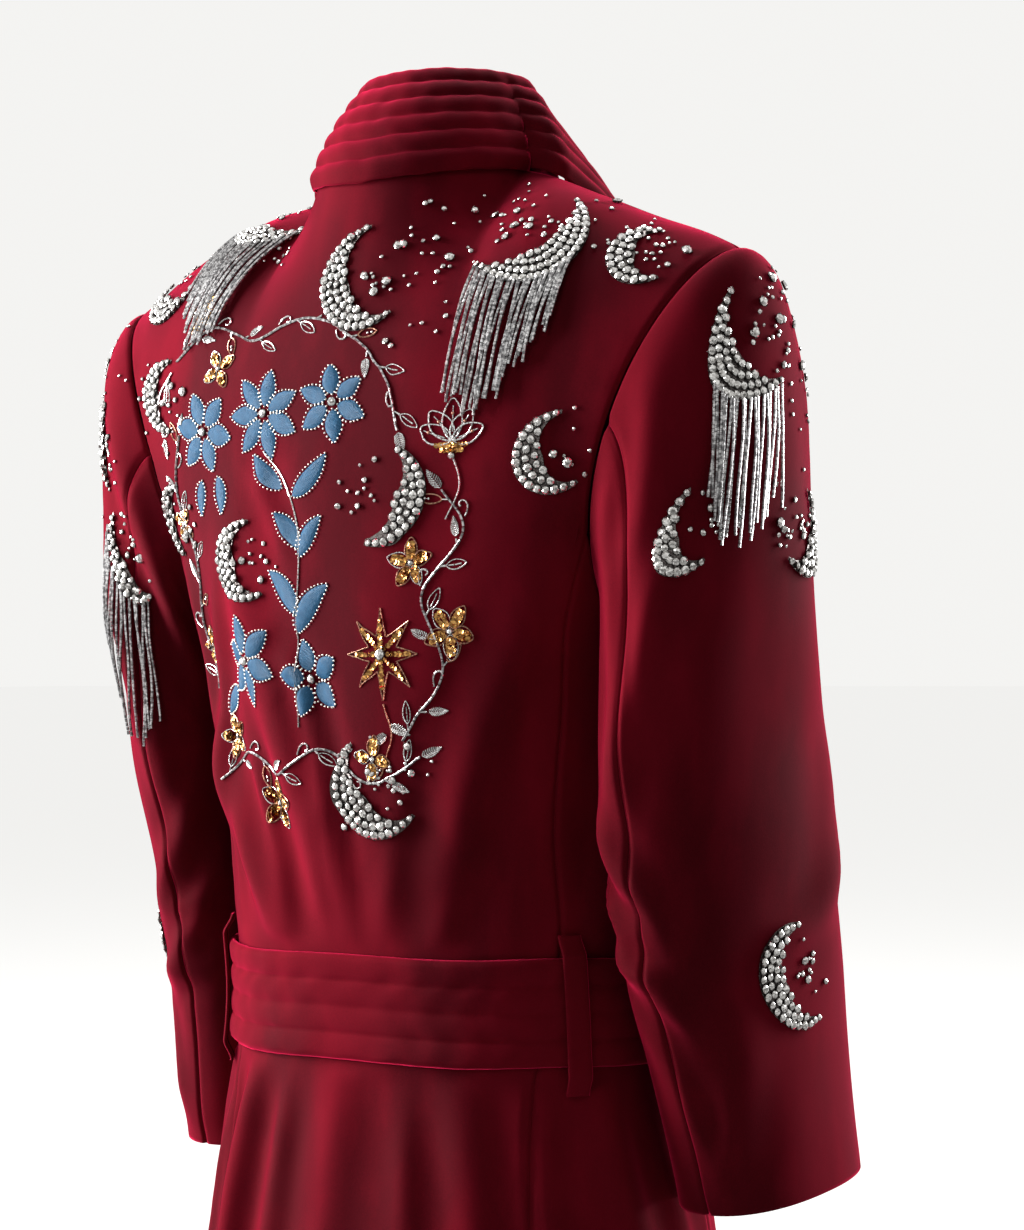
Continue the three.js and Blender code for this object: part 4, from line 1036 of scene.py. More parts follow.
def make_loop(side, name):
    """A flat carrier of doubled velvet that stands off over the belt and is sewn down above and below it."""
    v, u = grid_of(np.linspace(0, 1, 60), crowded(14, 0.3))
    z = mix(LOOP["bottom"], LOOP["top"], v)
    rise = smooth(np.minimum(v, 1 - v) / 0.14)
    across = np.degrees((u - 0.5) * LOOP["width"] / TORSO_RADIUS)
    pillow = 1.1 * (1 - (2 * u - 1) ** 6)
    high = mix(LOOP["clear"] + LOOP["wall"], LOOP["over"], rise) + pillow
    grid = mirrored(ring(LOOP["angle"] + across, z, high), side)
    out = unit(grid * np.array([1, 1, 0]))
    return cloth_piece("loop_" + name, "belt_loop_" + name, grid, out, 1.8)


make_collar()
make_stand()
make_belt()
make_loop(1, "left")
make_loop(-1, "right")


# Small things set on the cloth: templates, and copies of them placed by arrays. Every random draw comes from
# this one generator, in the order of the pieces.

rng = np.random.default_rng(11)


def frames_at(surface, a, v):
    """At each place the ways left (as one looks at the cloth), up and out of it, as rows of a matrix."""
    out = outward(surface, a, v)
    up = xyz(0, 0, 1) - out * out[..., 2:3]
    up = unit(up)
    return np.stack([np.cross(out, up), up, out], axis=-2)


def corners_round(count, radius, height, turned_by=0.0):
    """A level ring of points."""
    k = np.arange(count) * 2 * np.pi / count + turned_by
    return np.stack([radius * np.cos(k), radius * np.sin(k), np.full(count, float(height))], -1)


def band(low, high, count):
    """The triangles between two rings, given by the numbers of their first points."""
    j, n = np.arange(count), (np.arange(count) + 1) % count
    first = np.stack([low + j, low + n, high + j], -1)
    return np.concatenate([first, np.stack([high + j, low + n, high + n], -1)])


def copies(template, places, frames, sizes, spins=0.0):
    """The template's points, sized and spun about their own upright, carried into each place's frame."""
    points, faces = template
    sizes = np.broadcast_to(sizes, len(places))[:, None, None]
    spins = np.broadcast_to(spins, len(places))
    c, s = np.cos(spins)[:, None], np.sin(spins)[:, None]
    local = points[None] * sizes
    x = local[..., 0] * c - local[..., 1] * s
    y = local[..., 0] * s + local[..., 1] * c
    turned = np.stack([x, y, local[..., 2]], -1)
    moved = np.einsum("nvk,nkj->nvj", turned, frames) + places[:, None]
    shifted = faces[None] + (np.arange(len(places)) * len(points))[:, None, None]
    return moved.reshape(-1, 3), shifted.reshape(-1, 3)


def stone_template():
    """A cut stone one unit across: a raised table of eight corners, a crown of facets and a girdle."""
    table = corners_round(8, 0.27, 0.36)
    girdle = corners_round(8, 0.5, 0.16, np.pi / 8)
    foot = girdle * np.array([0.7, 0.7, 0]) - np.array([0, 0, 0.05])
    points = np.concatenate([[[0, 0, 0.39]], table, girdle, foot])
    j, n = np.arange(8), (np.arange(8) + 1) % 8
    top = np.stack([0 * j, 1 + j, 1 + n], -1)
    crown = np.concatenate([np.stack([1 + j, 9 + j, 1 + n], -1), np.stack([1 + n, 9 + j, 9 + n], -1)])
    under = np.concatenate([np.stack([9 + j, 17 + j, 9 + n], -1), np.stack([9 + n, 17 + j, 17 + n], -1)])
    return points, np.concatenate([top, crown, under])


def setting_template():
    """The metal under a stone: a shallow cup a little wider than it, with four claws over its edge."""
    points = [corners_round(8, 0.46, -0.06), corners_round(8, 0.56, 0.15)]
    faces = [band(0, 8, 8)]
    for turn in np.arange(4) * np.pi / 2 + np.pi / 8:
        c, s = np.cos(turn), np.sin(turn)
        first = 16 + 4 * (len(points) - 2)
        claw = np.array([[0.58, -0.08, 0.1], [0.58, 0.08, 0.1], [0.38, 0, 0.3], [0.52, 0, 0.29]])
        x, y = claw[:, 0] * c - claw[:, 1] * s, claw[:, 0] * s + claw[:, 1] * c
        points.append(np.stack([x, y, claw[:, 2]], -1))
        faces.append(first + np.array([[0, 1, 3], [0, 3, 2], [1, 2, 3]]))
    return np.concatenate(points), np.concatenate(faces)


def bead_template():
    """A small round bead: two poles and two rings of six."""
    low, high = corners_round(6, 0.43, -0.2), corners_round(6, 0.43, 0.2)
    points = np.concatenate([[[0, 0, -0.45]], low, high, [[0, 0, 0.45]]])
    j, n = np.arange(6), (np.arange(6) + 1) % 6
    bottom = np.stack([0 * j, 1 + n, 1 + j], -1)
    top = np.stack([7 + j, 7 + n, 0 * j + 13], -1)
    return points, np.concatenate([bottom, band(1, 7, 6), top])


def sequin_template():
    """A cupped round disc one unit across with a raised rim."""
    points = np.concatenate([[[0, 0, 0]], corners_round(8, 0.5, 0.1), [[0, 0, -0.03]]])
    j, n = np.arange(8), (np.arange(8) + 1) % 8
    top, under = np.stack([0 * j, 1 + j, 1 + n], -1), np.stack([0 * j + 9, 1 + n, 1 + j], -1)
    return points, np.concatenate([top, under])


STONE, CUP, BEAD, SEQUIN = stone_template(), setting_template(), bead_template(), sequin_template()


def tubes(starts, ends, radius, sides=6):
    """A closed round bead from each start to each end."""
    run = unit(ends - starts)
    helper = np.where(np.abs(run[:, 2:3]) > 0.9, np.array([[1.0, 0, 0]]), np.array([[0, 0, 1.0]]))
    x = unit(np.cross(run, helper))
    y = np.cross(run, x)
    k = np.arange(sides) * 2 * np.pi / sides
    radius = np.broadcast_to(radius, len(starts))[:, None, None]
    circle = (x[:, None] * np.cos(k)[:, None] + y[:, None] * np.sin(k)[:, None]) * radius
    points = np.concatenate([starts[:, None] + circle, ends[:, None] + circle], axis=1)
    j = np.arange(sides)
    near_end = np.stack([0 * j[2:], j[2:], j[1:-1]], -1)
    far_end = np.stack([0 * j[2:], j[1:-1], j[2:]], -1) + sides
    faces = np.concatenate([band(0, sides, sides), near_end, far_end])
    shifted = faces[None] + (np.arange(len(starts)) * 2 * sides)[:, None, None]
    return points.reshape(-1, 3), shifted.reshape(-1, 3)


@functools.cache
def crescent_height(on, a, z):
    return height_share(SURFACES[on], np.array(float(a)), z)


def crescent_width(size, along):
    """The width of a crescent at a share along it: fullest halfway, and a stone's width at the horns."""
    full = min(SETTING["fullest"] * size * 2, SETTING["most"]) - SETTING["tip"]
    return SETTING["tip"] + full * np.clip(np.cos((along - 0.5) * np.pi), 0, 1) ** 1.2


def crescent_place(crescent, along, across):
    """A place on a crescent: along from horn to horn, across from its hollow side, 0, to its full side, 1."""
    on, a, z, size, arc, turned = crescent
    radius = size - crescent_width(size, along) * (1 - across)
    angle = np.radians(turned + mix(-arc, arc, along))
    middle = (a, crescent_height(on, a, z))
    return walk(SURFACES[on], *middle, radius * np.cos(angle), radius * np.sin(angle))


def crescent_stones(crescent):
    """Curved rows of stones, the outer row the longest and largest: along, across and width of each."""
    size, arc = crescent[3], crescent[4]
    rows = max(2, round(crescent_width(size, 0.5) / SETTING["pitch"]))
    along, across, width = [], [], []
    for row in range(rows):
        radius = size - SETTING["pitch"] * (row + 0.5)
        reach = 1 - 0.12 * row
        count = max(3, int(2 * np.radians(arc) * radius * reach / SETTING["pitch"]))
        t = 0.5 + (np.arange(count) + 0.5 - count / 2) / count * reach
        wide = crescent_width(size, t)
        inside = 1 - SETTING["pitch"] * (row + 0.5) / np.maximum(wide, SETTING["pitch"])
        kept = inside > -0.12
        along.append(t[kept])
        across.append(np.clip(inside[kept], 0, 1))
        size_here = SETTING["stone"] * (1 - 0.1 * row / rows) * mix(0.62, 1.0, smooth(wide / 9))
        width.append((size_here * rng.uniform(0.88, 1.06, count))[kept])
    return np.concatenate(along), np.concatenate(across), np.concatenate(width)


def gems(surface, a, v, widths, above):
    """Stones with their settings at the given places: two parts of a mesh."""
    places = on_cloth(surface, a, v, above)
    frames = frames_at(surface, a, v)
    spins = rng.uniform(0, np.pi, len(places))
    tilt = rng.normal(0, 0.12, (len(places), 3))
    frames = frames + np.cross(tilt[:, None], frames)
    return [
        mesh_part(*copies(STONE, places, frames, widths, spins), CRYSTAL),
        mesh_part(*copies(CUP, places, frames, widths, spins), PRONGS),
    ]


def fringe_beads(name, crescent):
    """Strings of bugle beads from the crescent's outer rim, hanging by their own weight and leaning a little.
    Returns the beads' starts and ends."""
    strings, longest, shortest, first, last, lean = FRINGES[name]
    surface = SURFACES[crescent[0]]
    k = np.arange(strings)
    t = k / (strings - 1)
    reach = mix(shortest, longest, longest_share(name, t)) * rng.uniform(0.88, 1.03, strings)
    a, v = crescent_place(crescent, mix(first, last, t), 0.94 + 0 * t)
    down = np.arange(0, longest * 1.05, FRINGE_BEAD["pitch"])
    drop = np.broadcast_to(down, (strings, len(down)))
    own = np.stack([rng.normal(0, 0.03, strings), 2.4 + 0.9 * rng.random(strings)], 0)[..., None]
    sway = (lean + own[0]) * drop + 0.9 * np.sin(drop / 17 + (k * 2.3)[:, None])
    places = walk(surface, a[:, None] + 0 * drop, v[:, None] + 0 * drop, sway, -drop, 8)
    line = on_cloth(surface, *places, own[1] + 1.1 * smooth(drop / 30))
    kept = drop[:, 1:] < reach[:, None]
    return mix(line[:, :-1], line[:, 1:], 0.04)[kept], mix(line[:, :-1], line[:, 1:], 0.92)[kept]


def longest_share(name, t):
    """How long the string at t is between shortest, 0, and longest, 1."""
    if name == "shoulder_right":
        return smooth(t * 1.15)
    if name == "shoulder_left":
        return smooth(1.1 - t * 0.9)
    return 0.35 + 0.65 * np.sin(np.pi * np.clip(t * 0.9 + 0.1, 0, 1))


def make_crescent(name):
    crescent = CRESCENTS[name]
    surface = SURFACES[crescent[0]]
    along, across, widths = crescent_stones(crescent)
    a, v = crescent_place(crescent, along, across)
    parts = gems(surface, a, v, widths, SETTING["stone_above"])
    t, w = grid_of(np.linspace(0, 1, 30), np.linspace(0, 1, 7))
    plate = on_cloth(surface, *crescent_place(crescent, t.ravel(), w.ravel()), SETTING["plate_above"])
    parts.append(mesh_part(plate, grid_faces(*t.shape), PRONGS))
    if name in FRINGES:
        parts.append(mesh_part(*tubes(*fringe_beads(name, crescent), FRINGE_BEAD["radius"]), BUGLE))
    piece = mesh_object("stones_" + name, parts, smooth=False)
    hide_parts("crescent_" + name)
    return piece


for crescent_name in CRESCENTS:
    make_crescent(crescent_name)


# The beadwork and satin stitch of the back, drawn flat in millimetres left and up from its middle

ART = dict(on="back", share=0.13, z=-250)
VINES = {
    "upper": [(112, 140), (76, 160), (34, 146), (-14, 160), (-58, 138), (-84, 104), (-92, 74)],
    "lower": [(100, -158), (62, -138), (22, -152), (-22, -134), (-66, -156), (-112, -138)],
    "right": [(-96, -128), (-130, -84), (-116, -34), (-140, 6), (-124, 34)],
    "left": [(110, -96), (122, -52), (108, -6), (120, 44), (108, 84)],
    "shoulder": [(116, 132), (132, 112), (130, 84)],
}
# Blooms of the vines: place, petals, petal length and width, and how far round the first petal lies.
BLOOMS = [
    (88, 172, 5, 15, 10, 20),
    (64, 128, 4, 14, 9, 60),
    (84, -128, 5, 14, 9, 0),
    (30, -172, 5, 17, 11, 30),
    (-70, -140, 4, 14, 9, 10),
    (-136, -58, 5, 17, 11, 50),
    (-104, -14, 5, 15, 10, 15),
    (118, 20, 4, 12, 8, 40),
    (112, -66, 5, 12, 8, 0),
]
# Satin blooms: place, petals, petal length and width, first petal's turn. Satin leaves: place, turn, length,
# width and how many degrees the midrib bends.
SATIN_BLOOMS = [
    (80, 84, 6, 25, 14, 12),
    (18, 92, 7, 27, 13, 0),
    (-40, 96, 6, 23, 13, 24),
    (44, -76, 6, 26, 14, 20),
    (-18, -88, 5, 22, 14, 6),
]
SATIN_LEAVES = [
    (-8, -58, 118, 44, 15, 30),
    (-10, -46, 66, 40, 14, -34),
    (-14, -8, 112, 34, 12, 26),
    (-14, -2, 62, 34, 12, -26),
    (-8, 34, 150, 40, 13, -30),
    (2, 40, 28, 36, 12, 34),
    (66, 52, 250, 28, 11, 24),
    (84, 50, 290, 26, 10, -24),
    (70, -94, 330, 28, 11, -26),
]
SATIN_STEM = [(-4, -120), (-8, -60), (-14, 0), (-2, 42), (18, 66)]


def even_steps(line, spacing, fewest):
    """The same line as points an even distance apart along it."""
    run = np.concatenate([[0], np.cumsum(np.linalg.norm(np.diff(line, axis=0), axis=1))])
    at = np.linspace(0, run[-1], max(fewest, int(round(run[-1] / spacing)) + 1))
    return np.stack([np.interp(at, run, line[:, 0]), np.interp(at, run, line[:, 1])], -1)


def smooth_path(corners, spacing):
    """A curve through the corners, each stretch a cubic with slopes from its neighbours, in even steps."""
    p = np.asarray(corners, float)
    slope = np.gradient(p, axis=0)
    t = np.linspace(0, 1, 24, endpoint=False)[:, None]
    s = 1 - t
    line = []
    for here, there, leave, arrive in zip(p[:-1], p[1:], slope[:-1], slope[1:]):
        ends = here * (1 + 2 * t) * s * s + there * t * t * (3 - 2 * t)
        line.append(ends + leave * t * s * s + arrive * t * t * (t - 1))
    return even_steps(np.concatenate(line + [p[-1:]]), spacing, 3)


def turned(points, degrees, place=(0, 0)):
    """Flat points turned and moved: along the leaf is x, its width y."""
    c, s = cosd(degrees), sind(degrees)
    x, y = points[..., 0], points[..., 1]
    return np.stack([x * c - y * s + place[0], x * s + y * c + place[1]], -1)


def leaf_point(t, w, length, width, bend_by=0.0, blunt=0.8):
    """A pointed leaf: t runs from stalk to tip, w from edge to edge; half its width is sin(pi t) to a power,
    fuller towards the stalk, and its midrib bends evenly."""
    half = 0.5 * width * np.sin(np.pi * np.clip(t, 0, 1) ** 0.85) ** blunt
    turn = np.radians(bend_by) * t
    x = length * (t * np.cos(turn / 2)) - half * w * np.sin(turn)
    y = length * (t * np.sin(turn / 2)) + half * w * np.cos(turn)
    return np.stack(np.broadcast_arrays(x, y), -1)


def outline(length, width, spacing, bend_by=0.0, grow=0.0):
    """The closed edge of a leaf in even steps, grown outwards by so many millimetres."""
    t, grown = np.linspace(0, 1, 40), width + 2 * grow
    there, back_again = (leaf_point(t[::w], w, length, grown, bend_by) for w in (1, -1))
    return even_steps(np.concatenate([there, back_again]), spacing, 5)


class Beadwork:
    """Collects flat bead lines, single beads, sequins and satin shapes, then lays each kind on the cloth."""

    def __init__(self, art):
        self.surface = SURFACES[art["on"]]
        self.a = np.array(art["share"], float)
        self.v = height_share(self.surface, self.a, art["z"])
        self.lines, self.dots, self.discs, self.shapes, self.gems = {}, {}, [], [], []

    def line(self, kind, path):
        self.lines.setdefault(kind, []).append(np.stack([path[:-1], path[1:]], 1))

    def dot(self, kind, path, size):
        path = np.atleast_2d(path)
        self.dots.setdefault(kind, []).append(np.column_stack([path, np.full(len(path), size)]))

    def lay(self, flat, above):
        """Flat places walked out from the middle of the back, and the cloth's frame at each."""
        a, v = walk(self.surface, self.a, self.v, flat[:, 0], flat[:, 1], 10)
        return on_cloth(self.surface, a, v, above), a, v

    def vine_leaf(self, kind, place, turn, length, width):
        """A leaf of the vine: outlined in fine beads, or a feather of short slanting beads, or a bud."""
        if kind == "feather":
            t = np.linspace(0.08, 0.96, 11)
            for side in (1, -1):
                root = leaf_point(t, 0, length, width)
                tip = leaf_point(np.clip(t + 0.16, 0, 1), side * 0.9, length, width)
                pairs = np.stack([turned(root, turn, place), turned(tip, turn, place)], 1)
                self.lines.setdefault("fine", []).append(pairs)
        elif kind == "bud":
            self.line("copper", turned(outline(length, width, 1.9), turn, place))
            self.dot("silver", turned(np.array([[length * 0.5, 0], [length * 0.68, 0]]), turn, place), 2.2)
        else:
            self.line("fine", turned(outline(length, width, 2.1), turn, place))
            midrib = length * np.array([[0.1, 0], [0.4, 0], [0.75, 0]]) + [[0, 0], [0, 0.2], [0, 0]]
            self.line("fine", turned(midrib, turn, place))

    def curl(self, place, turn, hand):
        """A tendril of four short beads' lengths that winds up into a hook."""
        t = np.linspace(0, 1, 9)
        angle = np.radians(turn) + hand * (t**2) * 4.4
        step = 3.0 * (1 - 0.35 * t)
        path = np.cumsum(np.stack([np.cos(angle) * step, np.sin(angle) * step], -1), axis=0) + place
        self.line("silver", path)

    def vine(self, corners):
        """The stem in bugle beads, with leaves, buds and tendrils set off on either side by turns."""
        path = smooth_path(corners, 4.3)
        self.line("bugle", path)
        kinds = ("leaf", "feather", "curl", "bud", "feather", "leaf", "curl")
        for number, k in enumerate(range(2, len(path) - 1, 4)):
            run = path[k + 1] - path[k - 1]
            turn = np.degrees(np.arctan2(run[1], run[0]))
            hand = 1 if number % 2 else -1
            kind = kinds[number % len(kinds)]
            foot = path[k]
            if kind == "curl":
                self.curl(foot, turn + 50 * hand, -hand)
                continue
            aside = turn + 48 * hand
            stalk = np.stack([foot, foot + 4.5 * np.array([cosd(aside), sind(aside)])])
            self.line("silver", stalk)
            self.vine_leaf(kind, stalk[1], turn + 44 * hand, 15.0, 6.5)
        self.vine_leaf("feather", path[-1], np.degrees(np.arctan2(*(path[-1] - path[-2])[::-1])), 16.0, 7.0)

    def bloom(self, x, y, petals, length, width, first):
        """Petals outlined in copper beads round rows of gold sequins, with a stone in the middle."""
        for k in range(petals):
            turn = first + 360 * k / petals
            root = np.array([x, y]) + 2.2 * np.array([cosd(turn), sind(turn)])
            edge = turned(outline(length, width, 2.0), turn, root)
            self.line("copper" if k % 3 else "fine", edge)
            t = np.linspace(0.16, 0.72, 6)
            for w in (-0.35, 0.35):
                self.discs.append(turned(leaf_point(t, w, length, width), turn, root))
        self.gems.append((x, y, 3.6))

    def satin_shape(self, place, turn, length, width, bend_by=0.0):
        """A padded leaf of satin stitch with small silver beads round it."""
        t, w = grid_of(np.linspace(0.0, 1, 22), np.linspace(-1, 1, 9))
        flat = turned(leaf_point(t, w, length, width, bend_by), turn, place).reshape(-1, 2)
        pad = (1 - w**2) ** 0.5 * np.sin(np.pi * np.clip(t, 0.02, 0.98)) ** 0.4
        uv = np.stack([t * length / 10, w * width / 20], -1).reshape(-1, 2)
        self.shapes.append((flat, 0.25 + 1.1 * pad.ravel(), uv, (22, 9)))
        edge = turned(outline(length, width, 3.0, bend_by, 1.3), turn, place)
        self.dot("pearl", edge, 1.7)

    def star(self, x, y, points, long, short):
        """A pointed star outlined in copper, a row of sequins up each ray and a large stone in the middle."""
        k = np.arange(2 * points + 1)
        radius = np.where(k % 2 == 0, long, short)
        angle = 90 + k * 180 / points
        corners = np.stack([x + radius * cosd(angle), y + radius * sind(angle)], -1)
        for p, q in zip(corners[:-1], corners[1:]):
            steps = max(3, int(np.hypot(*(q - p)) / 2.2))
            self.line("copper", mix(p, q, np.linspace(0, 1, steps)[:, None]))
        for k in range(points):
            turn = 90 + k * 360 / points
            reach = np.linspace(5, long * 0.72, 7)[:, None]
            self.discs.append(np.array([[x, y]]) + reach * np.array([[cosd(turn), sind(turn)]]))
        self.gems.append((x, y, 7.5))

    def fan(self, x, y, reach):
        """Five open petals in bugle beads above a small base of sequins, with a hanging line of beads."""
        for k, turn in enumerate((22, 56, 90, 124, 158)):
            size = reach * (1.0 if k == 2 else 0.86)
            edge = turned(outline(size, 13, 3.4), turn, (x, y))
            self.line("silver", edge)
            t = np.linspace(0.2, 0.8, 7)
            self.line("fine", turned(leaf_point(t, 0, size, 13), turn, (x, y)))
            self.dot("copper", turned(np.array([[size * 0.62, 0]]), turn, (x, y)), 2.6)
        row = np.linspace(-12, 12, 9)
        for drop in (-3.0, -6.5):
            self.discs.append(np.stack([x + row * (1 + drop / 14), np.full(9, y + drop)], -1))
        self.line("silver", smooth_path([(x, y - 8), (x - 6, y - 30), (x + 3, y - 52)], 3.4))
        self.gems.append((x, y - 10, 4.6))

    def finish(self):
        looks = dict(bugle=(BUGLE, 0.85), silver=(SILVER_SEED, 0.6), fine=(SILVER_SEED, 0.42))
        looks["copper"] = (COPPER_SEED, 0.5)
        for kind, (look, radius) in looks.items():
            pairs = np.concatenate(self.lines.get(kind, []))
            ends, _, _ = self.lay(pairs.reshape(-1, 2), radius * 0.9)
            ends = ends.reshape(-1, 2, 3)
            middle = ends.mean(axis=1, keepdims=True)
            ends = middle + (ends - middle) * 0.88
            beads = mesh_part(*tubes(ends[:, 0], ends[:, 1], radius, 5), look)
            mesh_object("beads_" + kind, [beads], smooth=False)
        for kind, look in (("silver", SILVER_SEED), ("copper", COPPER_SEED), ("pearl", PEARL)):
            dots = np.concatenate(self.dots.get(kind, []))
            places, a, v = self.lay(dots[:, :2], 0.6)
            beads = mesh_part(*copies(BEAD, places, frames_at(self.surface, a, v), dots[:, 2]), look)
            mesh_object("dots_" + kind, [beads])
        discs = np.concatenate(self.discs)
        places, a, v = self.lay(discs, 0.8)
        frames = frames_at(self.surface, a, v)
        frames = frames + np.cross(rng.normal(0, 0.32, (len(places), 1, 3)), frames)
        spangles = mesh_part(*copies(SEQUIN, places, frames, 3.4), GOLD_SEQUIN)
        mesh_object("sequins", [spangles], smooth=False)
        stones = np.array(self.gems)
        _, a, v = self.lay(stones[:, :2], 0)
        parts = gems(self.surface, a, v, stones[:, 2], LOOSE_ABOVE)
        mesh_object("bloom_stones", parts, smooth=False)
        parts = []
        for flat, above, uv, (rows, columns) in self.shapes:
            places, _, _ = self.lay(flat, above)
            parts.append((places, grid_faces(rows, columns), uv))
        count = np.cumsum([0] + [len(p[0]) for p in parts])
        points = np.concatenate([p[0] for p in parts])
        faces = np.concatenate([p[1] + first for p, first in zip(parts, count)])
        uv = np.concatenate([p[2] for p in parts])
        mesh_object("satin_motifs", [mesh_part(points, faces, BLUE_SATIN, uv)])


def make_beadwork():
    work = Beadwork(ART)
    for corners in VINES.values():
        work.vine(corners)
    for bloom in BLOOMS:
        work.bloom(*bloom)
    for x, y, petals, length, width, first in SATIN_BLOOMS:
        for k in range(petals):
            turn = first + 360 * k / petals
            root = (x + 5 * cosd(turn), y + 5 * sind(turn))
            work.satin_shape(root, turn, length, width)
        work.gems.append((x, y, 6.0))
    for x, y, turn, length, width, bend_by in SATIN_LEAVES:
        work.satin_shape((x, y), turn, length, width, bend_by)
    work.line("silver", smooth_path(SATIN_STEM, 3.6))
    work.star(-84, -72, 8, 30, 12)
    work.line("copper", smooth_path([(-84, -104), (-88, -124), (-82, -142)], 2.4))
    work.vine_leaf("feather", (-86, -118), 200, 18, 8)
    work.vine_leaf("feather", (-86, -124), -20, 18, 8)
    work.fan(-130, 66, 28)
    work.finish()


make_beadwork()


# Loose stones scattered round the crescents and over the shoulders

# Scatters: the surface, the middle's place across it and height, half the spread to the left and up, and how
# many stones.
SCATTERS = [
    ("back", -0.3, -40, 62, 34, 30),
    ("back", -0.2, -95, 40, 30, 14),
    ("back", -0.72, -48, 44, 30, 26),
    ("back", 0.42, -34, 50, 22, 22),
    ("back", 0.84, -170, 22, 60, 22),
    ("back", -0.2, -415, 40, 30, 12),
    ("sleeve_right", -10, -110, 44, 40, 34),
    ("sleeve_right", -20, -200, 34, 60, 24),
    ("sleeve_left", 40, -100, 40, 34, 26),
    ("sleeve_left", 60, -210, 34, 50, 16),
    ("front_right", 0.7, -60, 40, 26, 20),
    ("front_left", 0.7, -60, 40, 26, 20),
]


def loose_stones():
    """By each crescent, stones over its open side, small and large; then the wider scatters."""
    places = {}
    for on, a, z, size, arc, turned_to in CRESCENTS.values():
        count = int(size * 0.42)
        turn = np.radians(turned_to + 180 + rng.uniform(-62, 62, count))
        reach = size * rng.uniform(-0.1, 1.15, count)
        sizes = rng.choice([2.2, 2.6, 3.2, 4.0, 5.2, 6.6], count, p=[0.28, 0.26, 0.2, 0.14, 0.08, 0.04])
        flat = np.stack([np.cos(turn) * reach, np.sin(turn) * reach, sizes], -1)
        places.setdefault(on, []).append((a, z, flat))
    for on, a, z, left, up, count in SCATTERS:
        sizes = rng.choice([2.2, 2.8, 3.6, 4.8, 6.4], count, p=[0.34, 0.28, 0.2, 0.12, 0.06])
        flat = np.stack([rng.uniform(-left, left, count), rng.uniform(-up, up, count), sizes], -1)
        places.setdefault(on, []).append((a, z, flat))
    for on, groups in places.items():
        surface = SURFACES[on]
        start = [height_share(surface, np.array(float(a)), z) for a, z, _ in groups]
        a = np.concatenate([np.full(len(g[2]), float(g[0])) for g in groups])
        v = np.concatenate([np.full(len(g[2]), float(s)) for g, s in zip(groups, start)])
        flat = np.concatenate([g[2] for g in groups])
        a, v = walk(surface, a, v, flat[:, 0], flat[:, 1], 8)
        inside = (np.abs(a) < 0.985) & (v < 0.985) if surface["step"] < 0.1 else v > 0.012
        if on.startswith("front"):
            inside = inside & (a > 0.48)
        parts = gems(surface, a[inside], v[inside], flat[inside, 2], LOOSE_ABOVE)
        mesh_object("loose_stones_" + on, parts, smooth=False)


loose_stones()


# Camera, floor and light

# Angles in degrees, the rest in millimetres: it looks at a point at this height, and this far to the picture's
# right of the jacket's middle.
VIEW = dict(azimuth=215.17, elevation=-1.02, roll=-0.354, distance=1801.0, lens=76.44)
LOOKS_AT = dict(height=-295.0, aside=53)


def make_camera():
    """The photograph's view: it looks nearly level, from behind and to the jacket's right."""
    a, e, r = np.radians(VIEW["azimuth"]), np.radians(VIEW["elevation"]), np.radians(VIEW["roll"])
    right = np.array([np.cos(a), np.sin(a), 0])
    toward = np.array([np.sin(a) * np.cos(e), -np.cos(a) * np.cos(e), np.sin(e)])
    up = np.cross(toward, right)
    looked_at = np.array([0, 0, LOOKS_AT["height"]]) + right * LOOKS_AT["aside"]
    place = looked_at + toward * VIEW["distance"]
    across, upright = right * np.cos(r) + up * np.sin(r), up * np.cos(r) - right * np.sin(r)
    data = bpy.data.cameras.new("camera")
    data.lens = VIEW["lens"]
    data.sensor_width = 36
    camera = bpy.data.objects.new("camera", data)
    bpy.context.scene.collection.objects.link(camera)
    matrix = np.eye(4)
    matrix[:3, 0], matrix[:3, 1], matrix[:3, 2], matrix[:3, 3] = across, upright, toward, place * MM
    camera.matrix_world = Matrix(matrix.tolist())
    bpy.context.scene.camera = camera


make_camera()


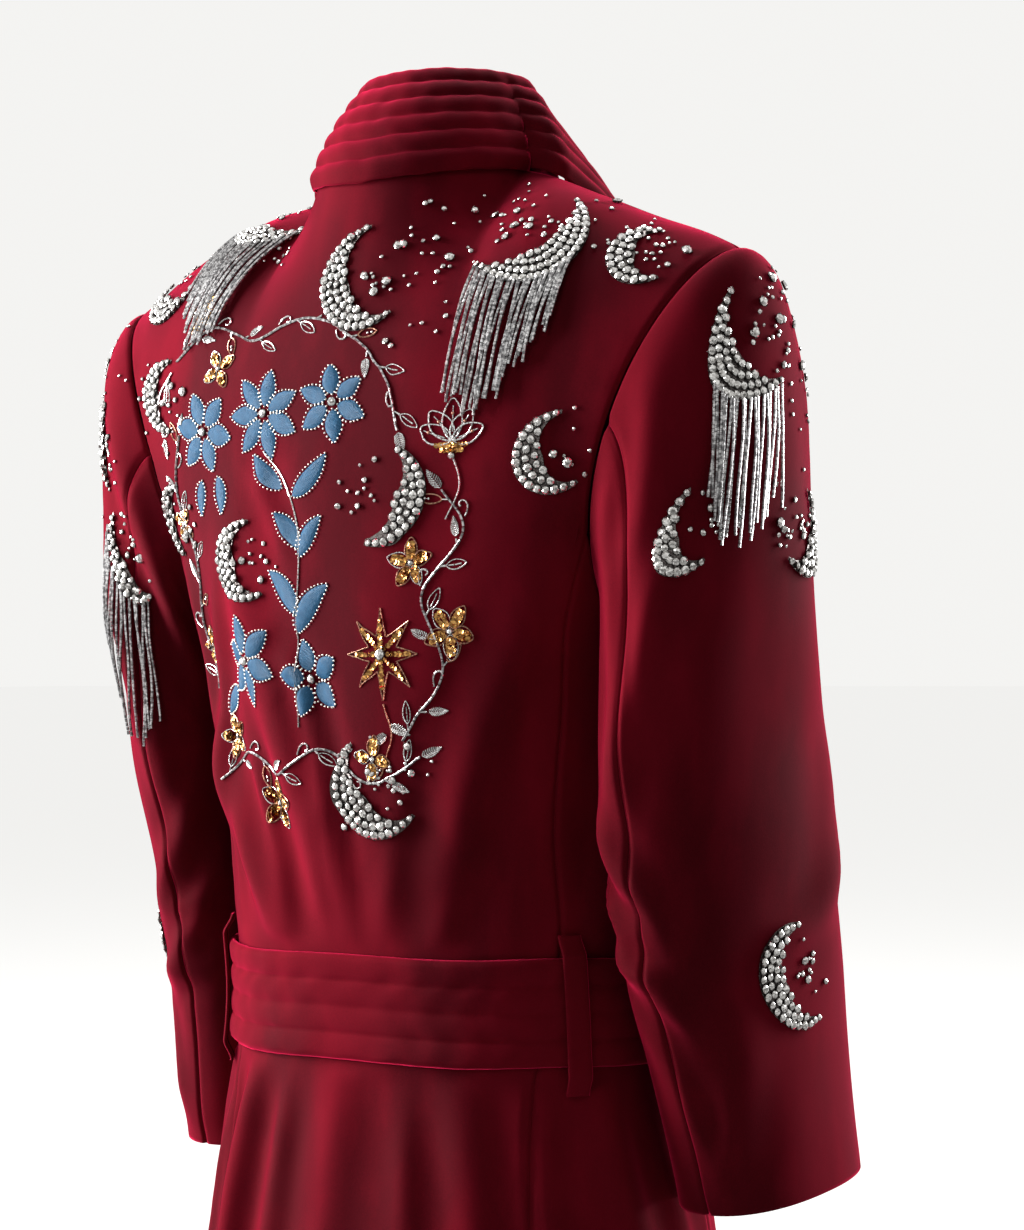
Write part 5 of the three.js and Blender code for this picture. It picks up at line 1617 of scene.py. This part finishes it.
def area_light(name, azimuth, height, distance, power, wide, tall, colour=(1, 1, 1)):
    """A soft box that faces the jacket's middle, its place given round the jacket as the camera's is."""
    a = np.radians(azimuth)
    place = Vector((np.sin(a) * distance, -np.cos(a) * distance, height))
    data = bpy.data.lights.new(name, "AREA")
    data.shape = "RECTANGLE"
    data.size, data.size_y = wide, tall
    data.energy = power
    data.color = colour
    light = bpy.data.objects.new(name, data)
    light.location = place
    toward = Vector((0, 0, -0.35)) - place
    light.rotation_euler = toward.to_track_quat("-Z", "Y").to_euler()
    bpy.context.scene.collection.objects.link(light)


area_light("left of view", 118, 0.1, 1.9, 125, 0.9, 1.9)
area_light("right of view", 330, 0.1, 2.0, 60, 0.6, 1.8)
area_light("top", 20, 2.2, 0.9, 46, 1.2, 1.0)
area_light("front of view", 180, 1.0, 2.6, 9, 1.2, 1.2)

BACKDROP = (0.905, 0.9, 0.884, 1)


def make_world():
    """A pale studio: bright to the camera, less so in mirror reflections, and faint as a light."""
    bpy.context.scene.view_settings.view_transform = "Standard"
    world = bpy.data.worlds.new("studio")
    bpy.context.scene.world = world
    world.use_nodes = True
    n = Nodes(world.node_tree)
    background = world.node_tree.nodes["Background"]
    background.inputs["Color"].default_value = BACKDROP
    ray = n.add("ShaderNodeLightPath")
    shown = n.maths("MULTIPLY", ray.outputs["Is Camera Ray"], 0.8)
    mirrored_share = n.maths("MULTIPLY", ray.outputs["Is Glossy Ray"], 0.62)
    strength = n.maths("ADD", 0.2, n.maths("ADD", shown, mirrored_share))
    world.node_tree.links.new(strength, background.inputs["Strength"])


def make_floor(reach=40.0, below=0.002):
    """A wide floor just under the hem, in metres, as bright to the camera as the backdrop."""
    material, n, shader = principled("pale floor", Roughness=1.0, Specular_IOR_Level=0.0)
    shader.inputs["Base Color"].default_value = (0.2, 0.199, 0.196, 1)
    shader.inputs["Emission Color"].default_value = BACKDROP
    shown = n.add("ShaderNodeLightPath").outputs["Is Camera Ray"]
    glow = n.maths("ADD", 0.12, n.maths("MULTIPLY", shown, 0.81))
    material.node_tree.links.new(glow, shader.inputs["Emission Strength"])
    mesh = bpy.data.meshes.new("floor")
    low = float(cad_box[0][2]) - below
    corners = [(-reach, -reach, low), (reach, -reach, low), (reach, reach, low), (-reach, reach, low)]
    mesh.from_pydata(corners, [], [(0, 1, 2, 3)])
    mesh.materials.append(material)
    floor = bpy.data.objects.new("floor", mesh)
    bpy.context.scene.collection.objects.link(floor)


make_world()
make_floor()
